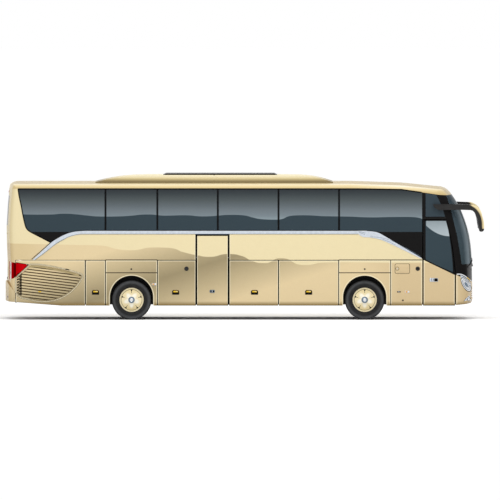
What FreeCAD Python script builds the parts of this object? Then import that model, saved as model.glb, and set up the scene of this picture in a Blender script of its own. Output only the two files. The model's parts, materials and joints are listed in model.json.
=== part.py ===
"""Two-axle high-deck touring coach, 12.3 m long, with its entrance doors on the right.

Millimetres. +X is forward, +Y is the coach's left and +Z is up. The origin lies on the ground, on the
centre line, midway between the rear bumper and the front edge of the mirrors.
"""

import FreeCAD, Part
import math
import os

V = FreeCAD.Vector
RIGHT, LEFT = -1, 1

# Driving dimensions.
rear_x = -6289.0            # rear bumper's outer face
front_x = 6001.0            # foremost point of the front panel
skirt_z = 373.0             # lower edge of the side panels
skirt_break_z = 560.0       # where the skirt starts to tuck in
seam_z = 1574.0             # upper edge of the flaps
rail_z = 3441.0             # roof's lower edge above the side windows
roof_z = 3617.0             # roof on the centre line
half_body = 1275.0          # half width between the skirt and the flaps' upper edge
half_skirt = half_body - 30.0
half_rail = half_body - 50.0
wall = 60.0                 # side wall, roof and end panels
glass = 10.0                # glass panes
panel = 45.0                # flaps
leaf = 50.0                 # door leaves
bond_gap = 0.3              # bonded glass and seated pieces
seam_gap = 9.0              # around each flap
hinge_seam = 12.0           # above each flap, where its hinge rod lies
hinge_rod_r, hinge_sleeve_r, hinge_clear = 3.0, 4.5, 0.08
door_gap = 24.0             # around each door leaf, filled by its rubber seal
groove_width, groove_depth = 14.0, 12.0

roof_crown = 9000.0         # radius of the roof across the coach
roof_drop = 176.0           # from the roof's top to where its edge radius starts
front_crown, front_corner = 4300.0, 350.0   # plan radii of the front
rear_crown, rear_corner = 7000.0, 140.0     # plan radii of the rear
corner_margin = 8.0         # end outlines stand this much outside the side planes

front_axle_x, rear_axle_x = 3155.0, -2966.0
wheel_r, tyre_width = 522.0, 290.0
front_track, rear_track = 1050.0, 910.0     # half tracks; the rear one is the middle of each pair
twin_spacing = 330.0
arch_r, arch_z = 568.0, 593.0               # wheel openings: round above this height, straight below
lip_width, lip_height = 20.0, 4.0
rim_r, rim_seat_r = 318.0, 286.0

floor_z, floor_thick = 1300.0, 40.0
step_setback = 87.0         # entrance steps end this much inside the side plane
deck_z = 940.0              # driver's platform
aisle_half = 330.0          # half of the gap between the benches
bay_floor_z, bay_sheet = 545.0, 20.0
rail_height, rail_width, rail_y = 120.0, 70.0, 430.0
tow_eye_r, front_eye_x, rear_eye_x = 21.0, 5590.0, -5990.0

# Seam lines along each side, from the rear corner to the front door.
rear_corner_x = -6016.0
bumper_top_z = 1000.0
bumper_slant = ((rear_corner_x, 722.0), (-6250.0, bumper_top_z))    # its top edge on each side
engine_flap_x = (-6016.0, -4179.0)
service_flap_x = (-4179.0, -3649.0)
rear_arch_x = (-3649.0, -2288.0)
mid_door_x = (-1277.0, -405.0)
bay_flaps_right = ((-2288.0, -1277.0), (-405.0, 893.0), (893.0, 2474.0))
bay_flaps_left = ((-2288.0, -701.0), (-701.0, 887.0), (887.0, 2474.0))
front_arch_x = (2474.0, 3836.0)
front_door_x = (4667.0, 5551.0)
mid_door_top, front_door_top = 2240.0, 2640.0
arch_seam_z = 1236.0
window_sill_z = 2338.0
pillar_x = (-3649.0, -2288.0, -700.0, 893.0, 2482.0)
glass_end_x = 4667.0
pillar_half = 62.0
shell_seam_x = -5960.0      # upper side wall meets the rear moulding

# Heights and setbacks of the front, from its foremost point.
front_levels = (            # height, setback
    (250.0, 70.0), (skirt_z, 50.0), (430.0, 30.0), (520.0, 0.0), (980.0, 12.0), (1458.0, 19.0),
    (1700.0, 28.0),
    (1968.0, 54.0), (2200.0, 92.0), (2425.0, 148.0), (2620.0, 212.0), (2798.0, 282.0), (2930.0, 343.0),
    (3039.0, 400.0), (3140.0, 462.0), (3228.0, 521.0), (3320.0, 592.0), (3395.0, 665.0), (3440.0, 735.0),
    (3470.0, 830.0), (3760.0, 830.0),
)
rear_levels = (             # height, setback from the bumper's face
    (250.0, 52.0), (skirt_z, 52.0), (skirt_break_z, 52.0), (seam_z, 52.0), (2000.0, 34.0), (2427.0, 26.0),
    (3000.0, 58.0), (rail_z, 102.0), (3523.0, 121.0),
    (3560.0, 152.0), (3589.0, 215.0), (3610.0, 300.0), (3760.0, 300.0),
)
bumper_levels = ((250.0, 40.0), (480.0, 0.0), (skirt_break_z, 0.0), (940.0, 0.0), (1100.0, 14.0))
roof_line = ((2770.0, roof_z), (4111.0, 3575.0), (5183.0, 3470.0), (6100.0, 3371.0))   # x, height
rail_line = ((3000.0, rail_z), (4111.0, 3425.0), (4648.0, 3349.0), (5104.0, 3281.0), (5300.0, 3270.0),
             (6300.0, 3270.0))
pillar_line = (             # height, setback of the front pillar's rear edge
    (200.0, 450.0), (1190.0, 450.0), (1500.0, 481.0), (1900.0, 531.0), (2250.0, 601.0), (2640.0, 701.0),
    (2900.0, 785.0), (3300.0, 905.0),
)
screen_line = ((1458.0, 295.0), (2183.0, 416.0), (2892.0, 589.0), (3300.0, 712.0))     # windscreen's edge
screen_foot_z = 1458.0
door_glass_line = ((4600.0, 1633.0), (5700.0, 1118.0))   # x, height of the line where the paint meets glass


# Outlines and solids.
def between(table, at):
    """Reads a table of (position, value) rows, straight between its rows."""
    for (a, va), (b, vb) in zip(table, table[1:]):
        if at <= b:
            return va + (vb - va) * (at - a) / (b - a)
    return table[-1][1]


def box(x0, x1, y0, y1, z0, z1):
    return Part.makeBox(x1 - x0, y1 - y0, z1 - z0, V(x0, y0, z0))


def mirrored(shape):
    return shape.mirror(V(0, 0, 0), V(0, 1, 0))


def on_side(shape, side):
    """Shapes are drawn on the right side and mirrored for the left."""
    return shape if side == RIGHT else mirrored(shape)


def fuse(shapes):
    first, *rest = shapes
    return first.multiFuse(rest).removeSplitter() if rest else first


def wire_xz(steps):
    """A closed outline in the side view. A step is a point, or (middle, end) for an arc."""
    points = [V(steps[0][0], 0, steps[0][1])]
    edges = []
    for step in steps[1:]:
        if isinstance(step[0], tuple):
            middle, end = (V(x, 0, z) for x, z in step)
            edges.append(Part.Arc(points[-1], middle, end).toShape())
        else:
            end = V(step[0], 0, step[1])
            edges.append(Part.LineSegment(points[-1], end).toShape())
        points.append(end)
    if points[-1].distanceToPoint(points[0]) > 1e-6:
        edges.append(Part.LineSegment(points[-1], points[0]).toShape())
    return Part.Wire(edges)


def prism_xz(steps, y0=-1600.0, y1=1600.0, inset=0.0):
    """A side-view outline, drawn smaller by inset, pushed across the coach from y0 to y1."""
    wire = wire_xz(steps)
    if inset:
        wire = wire.makeOffset2D(-inset, 0)
    face = Part.Face(wire)
    face.translate(V(0, y0, 0))
    return face.extrude(V(0, y1 - y0, 0))


def prism_yz(points, x0, x1):
    face = Part.Face(Part.makePolygon([V(x0, y, z) for y, z in [*points, points[0]]]))
    return face.extrude(V(x1 - x0, 0, 0))


def prism_xy(points, z0, z1):
    face = Part.Face(Part.makePolygon([V(x, y, z0) for x, y in [*points, points[0]]]))
    return face.extrude(V(0, 0, z1 - z0))


def cylinder_y(x, z, radius, y0, y1):
    return Part.makeCylinder(radius, y1 - y0, V(x, y0, z), V(0, 1, 0))


side_table = ((skirt_z, half_skirt), (skirt_break_z, half_body), (seam_z, half_body), (rail_z, half_rail))
rail_slope = (half_rail - half_body) / (rail_z - seam_z)


def half_width(z):
    """Half width of the outer skin at a height."""
    if z > seam_z:
        return half_body + rail_slope * (z - seam_z)
    return between(side_table, z)


def side_slab(side, x0, x1, z0, z1, outer=0.0, inner=wall):
    """A length of the flat side skin between two depths under its outer surface."""
    heights = [z0, *(z for z, _ in side_table if z0 < z < z1), z1]
    points = [(-(half_width(z) - outer), z) for z in heights]
    points += [(-(half_width(z) - inner), z) for z in reversed(heights)]
    return on_side(prism_yz(points, x0, x1), side)


def end_outline(z, tip, facing, half, corner, crown, back):
    """Plan of one end: a crowned face, two corner radii and straight sides back to x = back."""
    centre = tip - facing * crown
    reach = math.sqrt((crown - corner) ** 2 - (half - corner) ** 2)
    corner_x = centre + facing * reach
    away = V(facing * reach, half - corner, 0).normalize()
    join = V(centre, 0, z) + away * crown
    turn = math.atan2(away.y, abs(away.x))
    half_turn = (turn + math.pi / 2) / 2
    middle = V(corner_x + facing * corner * math.cos(half_turn),
               half - corner + corner * math.sin(half_turn), z)
    start, end = V(back, half, z), V(corner_x, half, z)

    def other(p):
        return V(p.x, -p.y, p.z)

    return Part.Wire([
        Part.LineSegment(start, end).toShape(),
        Part.Arc(end, middle, join).toShape(),
        Part.Arc(join, V(tip, 0, z), other(join)).toShape(),
        Part.Arc(other(join), other(middle), other(end)).toShape(),
        Part.LineSegment(other(end), other(start)).toShape(),
        Part.LineSegment(other(start), start).toShape(),
    ])


def front_block(depth=0.0, back=roof_line[0][0] - 50.0):
    """Everything behind the front surface, the surface taken in by depth."""
    return Part.makeLoft([
        end_outline(z, front_x - setback - depth, 1, half_width(max(z, skirt_z)) + corner_margin - depth,
                    front_corner - depth, front_crown - depth, back)
        for z, setback in front_levels
    ], True, True)


def rear_block(levels, depth=0.0, back=-4000.0, margin=corner_margin / 2):
    return Part.makeLoft([
        end_outline(z, rear_x + setback + depth, -1, half_width(max(z, skirt_z)) + margin - depth,
                    rear_corner - depth, rear_crown - depth, back)
        for z, setback in levels
    ], True, True)


def section(x, top, depth):
    """Cross section of the body at x: tucked skirt, flat sides leaning in, edge radii, crowned roof."""
    edge_z = top - roof_drop
    edge = half_width(edge_z)
    centre_z = top - roof_crown
    rise = edge_z - centre_z
    radius = (roof_crown ** 2 - rise ** 2 - edge ** 2) / (2 * (roof_crown - edge))
    away = V(0, edge - radius, rise).normalize()
    join = V(x, 0, centre_z) + away * (roof_crown - depth)
    turn = math.atan2(away.z, away.y) / 2
    middle = V(x, edge - radius + (radius - depth) * math.cos(turn),
               edge_z + (radius - depth) * math.sin(turn))
    left = [V(x, w - depth, z) for z, w in side_table[:-1]] + [V(x, edge - depth, edge_z)]
    right = [V(x, -p.y, p.z) for p in left]

    def other(p):
        return V(x, -p.y, p.z)

    edges = [Part.LineSegment(a, b).toShape() for a, b in zip(left, left[1:])]
    edges.append(Part.Arc(left[-1], middle, join).toShape())
    edges.append(Part.Arc(join, V(x, 0, top - depth), other(join)).toShape())
    edges.append(Part.Arc(other(join), other(middle), right[-1]).toShape())
    edges += [Part.LineSegment(b, a).toShape() for a, b in reversed(list(zip(right, right[1:])))]
    edges.append(Part.LineSegment(right[0], left[0]).toShape())
    return Part.Wire(edges)


def rear_hull(levels, depth, ahead=-4400.0):
    long_part = Part.Face(section(rear_x, roof_z, depth)).extrude(V(ahead - rear_x, 0, 0))
    return long_part.common(rear_block(levels, depth, ahead + 50.0))


def front_hull(depth):
    sloped = Part.makeLoft([section(x, top, depth) for x, top in roof_line], True, True)
    return sloped.common(front_block(depth))


def under_line(x0, x1):
    """Lower edge of the body between two places, as steps from x0 to x1: it rises behind the rear axle."""
    rise = ((rear_x, 487.0), (-4815.0, skirt_z), (5346.0, skirt_z), (front_x, 424.0))
    inner = [p for p in rise if x0 < p[0] < x1]
    return [(x0, between(rise, x0)), *inner, (x1, between(rise, x1))]


def above_rail(x0, x1, top=3900.0, lift=0.0):
    inner = [(x, z + lift) for x, z in rail_line if x0 < x < x1]
    ends = [(x, between(((-9000.0, rail_z), *rail_line), x) + lift) for x in (x0, x1)]
    return [ends[0], *inner, ends[1], (x1, top), (x0, top)]


def pillar_at(z, table=pillar_line):
    return front_x - between(table, z)


def pillar_steps(z0, z1, shift=0.0, table=pillar_line):
    """Points up a front pillar line from z0 to z1."""
    heights = [z0, *(z for z, _ in table if z0 < z < z1), z1]
    return [(pillar_at(z, table) + shift, z) for z in heights]


# Side windows.
def glazed_band():
    """Side view of the glazed band, from its curved rear edge to the front door's rear edge."""
    return [
        (-5945.0, rail_z), ((-5860.0, 2990.0), (-5753.0, 2477.0)), ((-5703.0, 2368.0), (-5600.0, 2295.0)),
        (-5096.0, 2023.0), ((-4740.0, 2237.0), (-4172.0, window_sill_z)), (3173.0, window_sill_z),
        ((3390.0, 2322.0), (3575.0, 2262.0)), (glass_end_x, 1620.0),
        *((x, z) for x, z in reversed(above_rail(-5945.0, glass_end_x)[1:-2])),
    ]


def upper_cab_pane():
    """Small fixed pane above the door on the right and above the driver's window on the left."""
    top = between(rail_line, front_door_x[0])
    return [(front_door_x[0], front_door_top + 40.0), *pillar_steps(front_door_top + 40.0, 3150.0, -10.0),
            (5080.0, between(rail_line, 5080.0) - 12.0), (front_door_x[0], top - 12.0)]


def cab_glass():
    """Door glass on the right and driver's window on the left: above the slanting paint line."""
    rear, paint = front_door_x[0] + door_gap, door_glass_line
    low = between(paint, pillar_at(1200.0))
    return [(rear, between(paint, rear)), (pillar_at(low) - door_gap, low),
            *pillar_steps(low, front_door_top - door_gap, -door_gap)[1:], (rear, front_door_top - door_gap)]


def pane(side, steps, inset):
    slab = side_slab(side, -6000.0, 5700.0, skirt_z, 3500.0, 0.0, glass)
    return slab.common(prism_xz(steps, inset=inset))


def side_windows(side):
    edges = [-6100.0, *pillar_x, glass_end_x]
    gap = 5.0
    panes = []
    band = prism_xz(glazed_band(), inset=bond_gap)
    slab = side_slab(side, -6000.0, 5700.0, skirt_z, 3500.0, 0.0, glass)
    for a, b in zip(edges, edges[1:]):
        column = box(a + gap, b - gap, -1600, 1600, 1000, 3900)
        panes.append(slab.common(band).common(column))
    panes.append(pane(side, upper_cab_pane(), bond_gap))
    if side == LEFT:
        panes.append(pane(side, cab_glass(), bond_gap))
    return Part.makeCompound([s for p in panes for s in p.Solids])


def window_holes():
    """Through-holes behind the panes, between the pillars."""
    sill, head, lower = 2400.0, 3372.0, 70.0
    holes = [[(-5790.0, head), ((-5730.0, 2950.0), (-5630.0, 2500.0)), (-5560.0, sill), (-4280.0, sill),
              (pillar_x[0] - pillar_half, sill),
              (pillar_x[0] - pillar_half, head)]]
    for a, b in zip(pillar_x, pillar_x[1:]):
        holes.append([(a + pillar_half, sill), (b - pillar_half, sill), (b - pillar_half, head),
                      (a + pillar_half, head)])
    end = glass_end_x - 75.0
    holes.append([(pillar_x[-1] + pillar_half, sill), (end, sill), (end, between(rail_line, end) - lower),
                  (4111.0, between(rail_line, 4111.0) - lower), (pillar_x[-1] + pillar_half, head)])
    return [prism_xz(h) for h in holes]


# Body panels.
def arch(x, radius=arch_r):
    below = box(x - radius, x + radius, -1600, 1600, 0, arch_z)
    return fuse([cylinder_y(x, arch_z, radius, -1600, 1600), below])


def arch_lip(side, x):
    """Low flange round a wheel arch, standing a little proud of the side."""
    reach = arch_r + lip_width
    band = side_slab(side, x - reach, x + reach, skirt_z, arch_seam_z, -lip_height, glass)
    return band.common(arch(x, reach)).cut(arch(x))


def groove(side, x0, x1, z0, z1):
    """A straight seam line pressed into the outer skin."""
    if x0 == x1:
        x0, x1 = x0 - groove_width / 2, x1 + groove_width / 2
    if z0 == z1:
        z0, z1 = z0 - groove_width / 2, z1 + groove_width / 2
    return side_slab(side, x0, x1, z0, z1, -5.0, groove_depth)


def side_wall(side):
    bay_flaps = bay_flaps_right if side == RIGHT else bay_flaps_left
    region = [(shell_seam_x, rail_z), (shell_seam_x, seam_z), (rear_corner_x, seam_z),
              *under_line(rear_corner_x, front_door_x[1]),
              *pillar_steps(skirt_z + 1.0, 3268.0)[1:], (5104.0, rail_line[3][1])]
    region += [p for p in reversed(rail_line[:3])]
    body = side_slab(side, rear_corner_x, 5600.0, skirt_z, 3500.0).common(prism_xz(region))
    cuts = [arch(front_axle_x), arch(rear_axle_x), *window_holes()]
    low = skirt_z - 50.0
    cuts.append(box(engine_flap_x[0] - 1.0, service_flap_x[1], -1600, 1600, low, seam_z))
    cuts += [box(a, b, -1600, 1600, low, seam_z) for a, b in bay_flaps]
    cuts.append(prism_xz(upper_cab_pane(), inset=70.0))
    skin = side_slab(side, -6000.0, 5700.0, skirt_z, 3500.0, -5.0, glass + bond_gap)
    cuts += [skin.common(prism_xz(glazed_band())), skin.common(prism_xz(upper_cab_pane()))]
    if side == RIGHT:
        cuts.append(box(mid_door_x[0], mid_door_x[1], -1600, 1600, low, mid_door_top))
        doorway = [(front_door_x[0], low), (front_door_x[1] + 100, low), (front_door_x[1] + 100, 1200.0),
                   *pillar_steps(1200.0, front_door_top, 1.0), (front_door_x[0], front_door_top)]
        cuts.append(prism_xz(doorway))
    else:
        cuts += [skin.common(prism_xz(cab_glass())), prism_xz(cab_glass(), inset=75.0)]
        cuts.append(groove(side, front_door_x[0], front_door_x[0], skirt_z, window_sill_z - 700.0))
    for x0, x1 in (rear_arch_x, front_arch_x):
        cuts += [groove(side, x0, x1, arch_seam_z, arch_seam_z), groove(side, x0, x1, seam_z, seam_z)]
    cuts += [groove(side, front_arch_x[1], front_arch_x[1], skirt_z, seam_z),
             groove(side, front_arch_x[1], front_door_x[0], seam_z, seam_z)]
    rods = [hinge_rod(side, x_range) for x_range in (*bay_flaps, service_flap_x, engine_hinge_x)]
    lips = [arch_lip(side, x) for x in (front_axle_x, rear_axle_x)]
    return fuse([body.cut(cuts), *rods, *lips])


def roof(outer, inner):
    return outer.cut(inner).common(prism_xz(above_rail(rear_x - 100.0, 6200.0)))


def cut_rear_openings(shape):
    return shape.cut([tail_lamp_region(), rear_lid_box(0.0), rear_window_box(60.0)])


def tail_lamp_region():
    tip_x, inner_y = lamp_view[0][0], 930.0
    return prism_xz(lamp_view).common(fuse([
        box(lamp_view[3][0] - 100, tip_x + 85, -1400, -inner_y, 900, 1700),
        box(lamp_view[3][0] - 100, tip_x + 85, inner_y, 1400, 900, 1700),
    ]))


rear_window_half, rear_window_z = 760.0, (2470.0, 3250.0)


def rear_window_box(inset):
    return box(rear_x - 50, rear_x + 260, inset - rear_window_half, rear_window_half - inset,
               rear_window_z[0] + inset, rear_window_z[1] - inset)


rear_lid_half, rear_lid_z = 860.0, (1010.0, 2260.0)
lid_hinge_x, lid_hinge_z, lid_hinge_half = -6256.0, rear_lid_z[1] - hinge_seam / 2, 330.0


def lid_rod():
    half = lid_hinge_half
    pieces = [cylinder_y(lid_hinge_x, lid_hinge_z, hinge_rod_r, -half, half)]
    for y in (-half, -5.0, half - 10):
        pieces.append(cylinder_y(lid_hinge_x, lid_hinge_z, hinge_sleeve_r, y, y + 10))
        pieces.append(box(lid_hinge_x - 1, lid_hinge_x + 9, y, y + 10, lid_hinge_z, rear_lid_z[1] + 6))
    return pieces


def engine_lid(shell):
    lid = shell.common(rear_lid_box(0.0)).common(
        box(-7000, 0, -rear_lid_half + seam_gap, rear_lid_half - seam_gap, rear_lid_z[0] + seam_gap,
            rear_lid_z[1] - hinge_seam))
    sleeves = []
    for y in (-250.0, 170.0):
        sleeves.append(cylinder_y(lid_hinge_x, lid_hinge_z, hinge_sleeve_r, y, y + 80))
        sleeves.append(box(lid_hinge_x, lid_hinge_x + 12, y, y + 80, rear_lid_z[1] - hinge_seam - 8,
                           lid_hinge_z + 1))
    bore = cylinder_y(lid_hinge_x, lid_hinge_z, hinge_rod_r + hinge_clear, -rear_lid_half, rear_lid_half)
    return fuse([lid, *sleeves]).cut([bore, *lid_louvres()])


def lid_louvres():
    """Slots that fall outwards through the lid's lower part, left and right of a plain middle."""
    first_z, pitch, height, fall = 1105.0, 46.0, 20.0, 14.0
    made = []
    for y0, y1 in ((-700.0, -60.0), (60.0, 700.0)):
        for i in range(6):
            z = first_z + pitch * i
            lower = [(rear_x - 50, z - fall), (rear_x + 200, z + fall)]
            upper = [(x, at + height) for x, at in reversed(lower)]
            made.append(prism_xz([*lower, *upper], y0, y1))
    return made


def rear_lid_box(inset):
    return box(rear_x - 50, rear_x + 300, -rear_lid_half + inset, rear_lid_half - inset,
               rear_lid_z[0] + inset, rear_lid_z[1] - inset)


def rear_wall(outer, glass_shell, inner):
    region = [(shell_seam_x, rail_z), (shell_seam_x, seam_z), (rear_corner_x, seam_z), *bumper_slant,
              (rear_x - 100.0, bumper_top_z), (rear_x - 100.0, rail_z)]
    shell = outer.cut(inner).common(prism_xz(region))
    rebate = outer.cut(glass_shell).common(rear_window_box(0.0))
    return fuse([cut_rear_openings(shell.cut(rebate)), *lid_rod()])


lamp_view = (               # tail lamp seen from the side, from its forward tip
    (-5685.0, 1445.0), (-6048.0, 1096.0), (-6240.0, 1030.0), (-6400.0, 1030.0), (-6400.0, 1540.0),
    (-6236.0, 1535.0),
)
lamp_gap, lamp_tongue = 11.0, 20.0      # seam around the lamp, and the flap's thickness above it
bumper_gap = 0.4            # seam over the rear bumper


def rear_bumper():
    side_x = rear_corner_x - seam_gap / 3
    slant = [(min(x, side_x), z - bumper_gap) for x, z in bumper_slant]
    region = [*under_line(rear_x - 10.0, side_x), *slant, (rear_x - 10.0, bumper_top_z - bumper_gap)]
    shell = rear_hull(bumper_levels, 0.0).cut(rear_hull(bumper_levels, wall))
    plate_recess = box(rear_x - 20, rear_x + 14, -275, 275, 640, 780)
    return shell.common(prism_xz(region)).cut(plate_recess)


mask_line = ((front_door_x[1], 1190.0), (5600.0, 1215.0), (5700.0, 1180.0), (5961.0, 1010.0),
             (front_x + 99.0, 1000.0))      # seam between the bumper and the black panel above it
grille_half, grille_z = 620.0, 560.0        # air intake between the headlamps
grille_slots, grille_slot, grille_pitch = 4, 38.0, 54.0


def front_bumper(shell):
    region = [*under_line(front_door_x[1], mask_line[-1][0]), *reversed(mask_line)]
    slots = [box(front_x - 200, front_x + 200, -grille_half, grille_half, z, z + grille_slot)
             for z in (grille_z + grille_pitch * i for i in range(grille_slots))]
    return shell.common(prism_xz(region)).cut([headlamp_region(0.0), fog_lamp_region(0.0), *slots])


def front_mask(shell):
    lower = [(x, z + 2.0) for x, z in mask_line]
    region = [*lower, (front_x + 199.0, lower[-1][1]), (front_x + 199.0, screen_foot_z),
              *reversed(pillar_steps(lower[0][1], screen_foot_z))]
    return shell.common(prism_xz(region))


def both_front_corners(z0, z1, inner_y):
    return fuse([box(5500, 6200, -1400, -inner_y, z0, z1), box(5500, 6200, inner_y, 1400, z0, z1)])


def headlamp_region(inset):
    side_view = [(5665.0, 1170.0), (5700.0, 1168.0), (5850.0, 1068.0), (6100.0, 990.0), (6100.0, 745.0),
                 ((5860.0, 745.0), (5745.0, 900.0)),
                 ((5690.0, 1040.0), (5665.0, 1170.0))]
    return prism_xz(side_view, inset=inset).common(both_front_corners(600, 1300, 880.0 + inset))


def fog_lamp_region(inset):
    side_view = [(5775.0, 500.0), (5890.0, 625.0), (6100.0, 590.0), (6100.0, 500.0)]
    return prism_xz(side_view, inset=inset).common(both_front_corners(400, 800, 820.0 + inset))


def front_frame(shell, skin):
    """Black front pillars and header around the windscreen, rebated for the bonded glass."""
    region = [*pillar_steps(screen_foot_z, 3268.0), (5300.0, 3269.0), (6300.0, 3269.0),
              (6300.0, screen_foot_z)]
    frame = shell.common(prism_xz(region))
    hole = [*pillar_steps(screen_foot_z + 60.0, 3190.0, 70.0, screen_line), (6300.0, 3190.0),
            (6300.0, screen_foot_z + 60.0)]
    return frame.cut([skin.common(prism_xz(screen_steps())), prism_xz(hole)])


def screen_steps():
    return [*pillar_steps(screen_foot_z, 3262.0, 0.0, screen_line), (6300.0, 3262.0),
            (6300.0, screen_foot_z)]


def roof_pod(clear_of):
    side_view = [(-3917.0, 3500.0), (-3917.0, 3604.0), ((-3250.0, 3738.0), (-2900.0, 3772.0)),
                 (-2500.0, 3785.0), (900.0, 3785.0),
                 (1300.0, 3778.0), ((1900.0, 3722.0), (2327.0, 3604.0)), (2327.0, 3500.0)]
    cross = [(-750.0, 3500.0), (-750.0, 3640.0), (-700.0, 3730.0), (-560.0, 3790.0), (560.0, 3790.0),
             (700.0, 3730.0), (750.0, 3640.0), (750.0, 3500.0)]
    pod = prism_xz(side_view).common(prism_yz(cross, -4000.0, 2400.0))
    split = box(-799.0 - 12, -799.0 + 12, -1000, 1000, 3640, 3900)
    return pod.cut([clear_of, split.cut(box(-900, -700, -735, 735, 3500, 3770))])


def roof_pod_hatch():
    side_view = [(-2140.0, 3785.3), (-2060.0, 3822.0), (780.0, 3822.0), (860.0, 3785.3)]
    return prism_xz(side_view, -480.0, 480.0)


def belt_trim(side):
    """Bright strip under the windows: it sweeps down at the rear and widens into a wing at the front."""
    top, low = window_sill_z - 2.0, window_sill_z - 81.0
    upper = [(-5564.0, seam_z), (-5080.0, 2022.0), ((-4735.0, 2233.0), (-4172.0, top)), (3173.0, top),
             ((3390.0, 2320.0), (3575.0, 2260.0)), (4660.0, 1622.0)]
    lower = [(4640.0, 1606.0), (3924.0, 1955.0), (3656.0, 2075.0), ((3390.0, 2150.0), (3173.0, 2170.0)),
             ((3080.0, 2190.0), (2990.0, low)), (-4172.0, low), ((-4650.0, 2160.0), (-4990.0, 1975.0)),
             (-5498.0, seam_z)]
    slab = side_slab(side, -6000.0, 5000.0, seam_z, 2600.0, -8.0, -bond_gap)
    return slab.common(prism_xz([*upper, *lower]))


# Doors and flaps.
hinge_y, hinge_z = half_body - 2.0, seam_z - hinge_seam / 2


def cylinder_x(y, z, radius, x0, x1):
    return Part.makeCylinder(radius, x1 - x0, V(x0, y, z), V(1, 0, 0))


def hinge_rod(side, x_range):
    """Rod above a flap, carried by three small lugs under the wall's edge."""
    x0, x1 = x_range[0] + seam_gap + 12, x_range[1] - seam_gap - 12
    pieces = [cylinder_x(-hinge_y, hinge_z, hinge_rod_r, x0, x1)]
    for x in (x0, (x0 + x1) / 2 - 5, x1 - 10):
        pieces.append(cylinder_x(-hinge_y, hinge_z, hinge_sleeve_r, x, x + 10))
        pieces.append(box(x, x + 10, -hinge_y - 4, -hinge_y + 4, hinge_z, seam_z + 5))
    return on_side(fuse(pieces), side)


def with_hinge_sleeves(shape, side, x_range):
    """Adds the two sleeves that turn on the rod to a flap's top edge."""
    x0, x1 = x_range
    sleeves = []
    for x in (x0 + 70, x1 - 130):
        sleeves.append(cylinder_x(-hinge_y, hinge_z, hinge_sleeve_r, x, x + 60))
        sleeves.append(box(x, x + 60, -hinge_y + 1, -hinge_y + 9, seam_z - hinge_seam - 8, hinge_z + 1))
    bore = on_side(cylinder_x(-hinge_y, hinge_z, hinge_rod_r + hinge_clear, x0, x1), side)
    return fuse([shape, *(on_side(s, side) for s in sleeves)]).cut(bore)


def flap_panel(side, x_range):
    x0, x1 = x_range[0] + seam_gap, x_range[1] - seam_gap
    region = [*under_line(x0, x1), (x1, seam_z - hinge_seam), (x0, seam_z - hinge_seam)]
    return side_slab(side, x0, x1, skirt_z, seam_z, 0.0, panel).common(prism_xz(region))


def flap(side, x_range):
    return with_hinge_sleeves(flap_panel(side, x_range), side, x_range)


engine_hinge_x = (-5640.0, engine_flap_x[1])     # the flap's rod ends short of the tail lamp

grille_outline = [
    (-5620.0, 1452.0), (-5430.0, 1452.0), ((-4900.0, 1365.0), (-4320.0, 1210.0)),
    ((-4262.0, 1160.0), (-4290.0, 1070.0)), ((-4480.0, 820.0), (-4760.0, 610.0)),
    ((-5100.0, 500.0), (-5700.0, 565.0)), ((-5900.0, 620.0), (-6000.0, 730.0)), (-6000.0, 1075.0),
    (-5985.0, 1105.0),
]


def engine_flap(side):
    """Side engine cover with slanting louvres in a deep frame, thinner where it passes over the lamp."""
    cover = flap_panel(side, engine_flap_x)
    tip_x, tip_z = lamp_view[0]
    around_lamp = prism_xz(lamp_view, inset=-lamp_gap)
    behind_tongue = side_slab(side, engine_flap_x[0], tip_x + lamp_gap, tip_z, seam_z, lamp_tongue, wall)
    frame_width, slat_pitch, slat_height = 26.0, 74.0, 44.0
    hole = prism_xz(grille_outline, inset=frame_width)
    body = cover.cut([hole, around_lamp, behind_tongue])
    slats = []
    drop = 0.12                                   # slats fall this much forward for each length
    for i in range(14):
        z = 500.0 + slat_pitch * i
        steps = [(-6050.0, z + drop * 600), (-4200.0, z - drop * 1250),
                 (-4200.0, z - drop * 1250 + slat_height), (-6050.0, z + drop * 600 + slat_height)]
        slats.append(prism_xz(steps))
    slab = side_slab(side, engine_flap_x[0], engine_flap_x[1], skirt_z, seam_z, 8.0, panel - 8.0)
    blades = slab.common(prism_xz(grille_outline, inset=frame_width - 2.0)).common(Part.makeCompound(slats))
    blades = blades.cut(around_lamp)
    return with_hinge_sleeves(fuse([body, *blades.Solids]), side, engine_hinge_x)


def door_outline(x_range, top, slanted):
    x0, x1 = x_range[0] + door_gap, x_range[1] - door_gap
    if not slanted:
        return [(x0, skirt_z), (x1, skirt_z), (x1, top - door_gap), (x0, top - door_gap)]
    return [(x0, skirt_z), (x1, skirt_z), *pillar_steps(1190.0, top - door_gap, -door_gap),
            (x0, top - door_gap)]


def front_door():
    slab = side_slab(RIGHT, 4600.0, 5600.0, skirt_z, 2700.0, 0.0, leaf)
    body = slab.common(prism_xz(door_outline(front_door_x, front_door_top, True)))
    skin = side_slab(RIGHT, 4600.0, 5600.0, skirt_z, 2700.0, -5.0, glass + bond_gap)
    rebate = skin.common(prism_xz(cab_glass(), inset=-bond_gap))
    return fuse([body.cut([rebate, prism_xz(cab_glass(), inset=75.0)]),
                 *door_brackets(front_door_x, front_arms)])


def mid_door():
    slab = side_slab(RIGHT, mid_door_x[0], mid_door_x[1], skirt_z, 2700.0, 0.0, leaf)
    return fuse([slab.common(prism_xz(door_outline(mid_door_x, mid_door_top, False))),
                 *door_brackets(mid_door_x, mid_arms)])


# Each leaf hangs on two goose-neck arms on a turning post, and stays parallel to the side as it swings.
arm_r, post_r, post_setback = 437.0, 18.0, 131.0
post_y = 95.0 - half_body
arm_bulge, arm_width, arm_thick = 65.0, 32.0, 24.0
post_foot = 430.0           # lowest entrance step, which the posts stand on
front_arms, mid_arms = (650.0, 1330.0), (700.0, 1900.0)     # heights of the arms
pin_r, pin_clear = 14.0, 0.08


def door_post_x(x_range):
    return x_range[1] - post_setback


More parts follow.
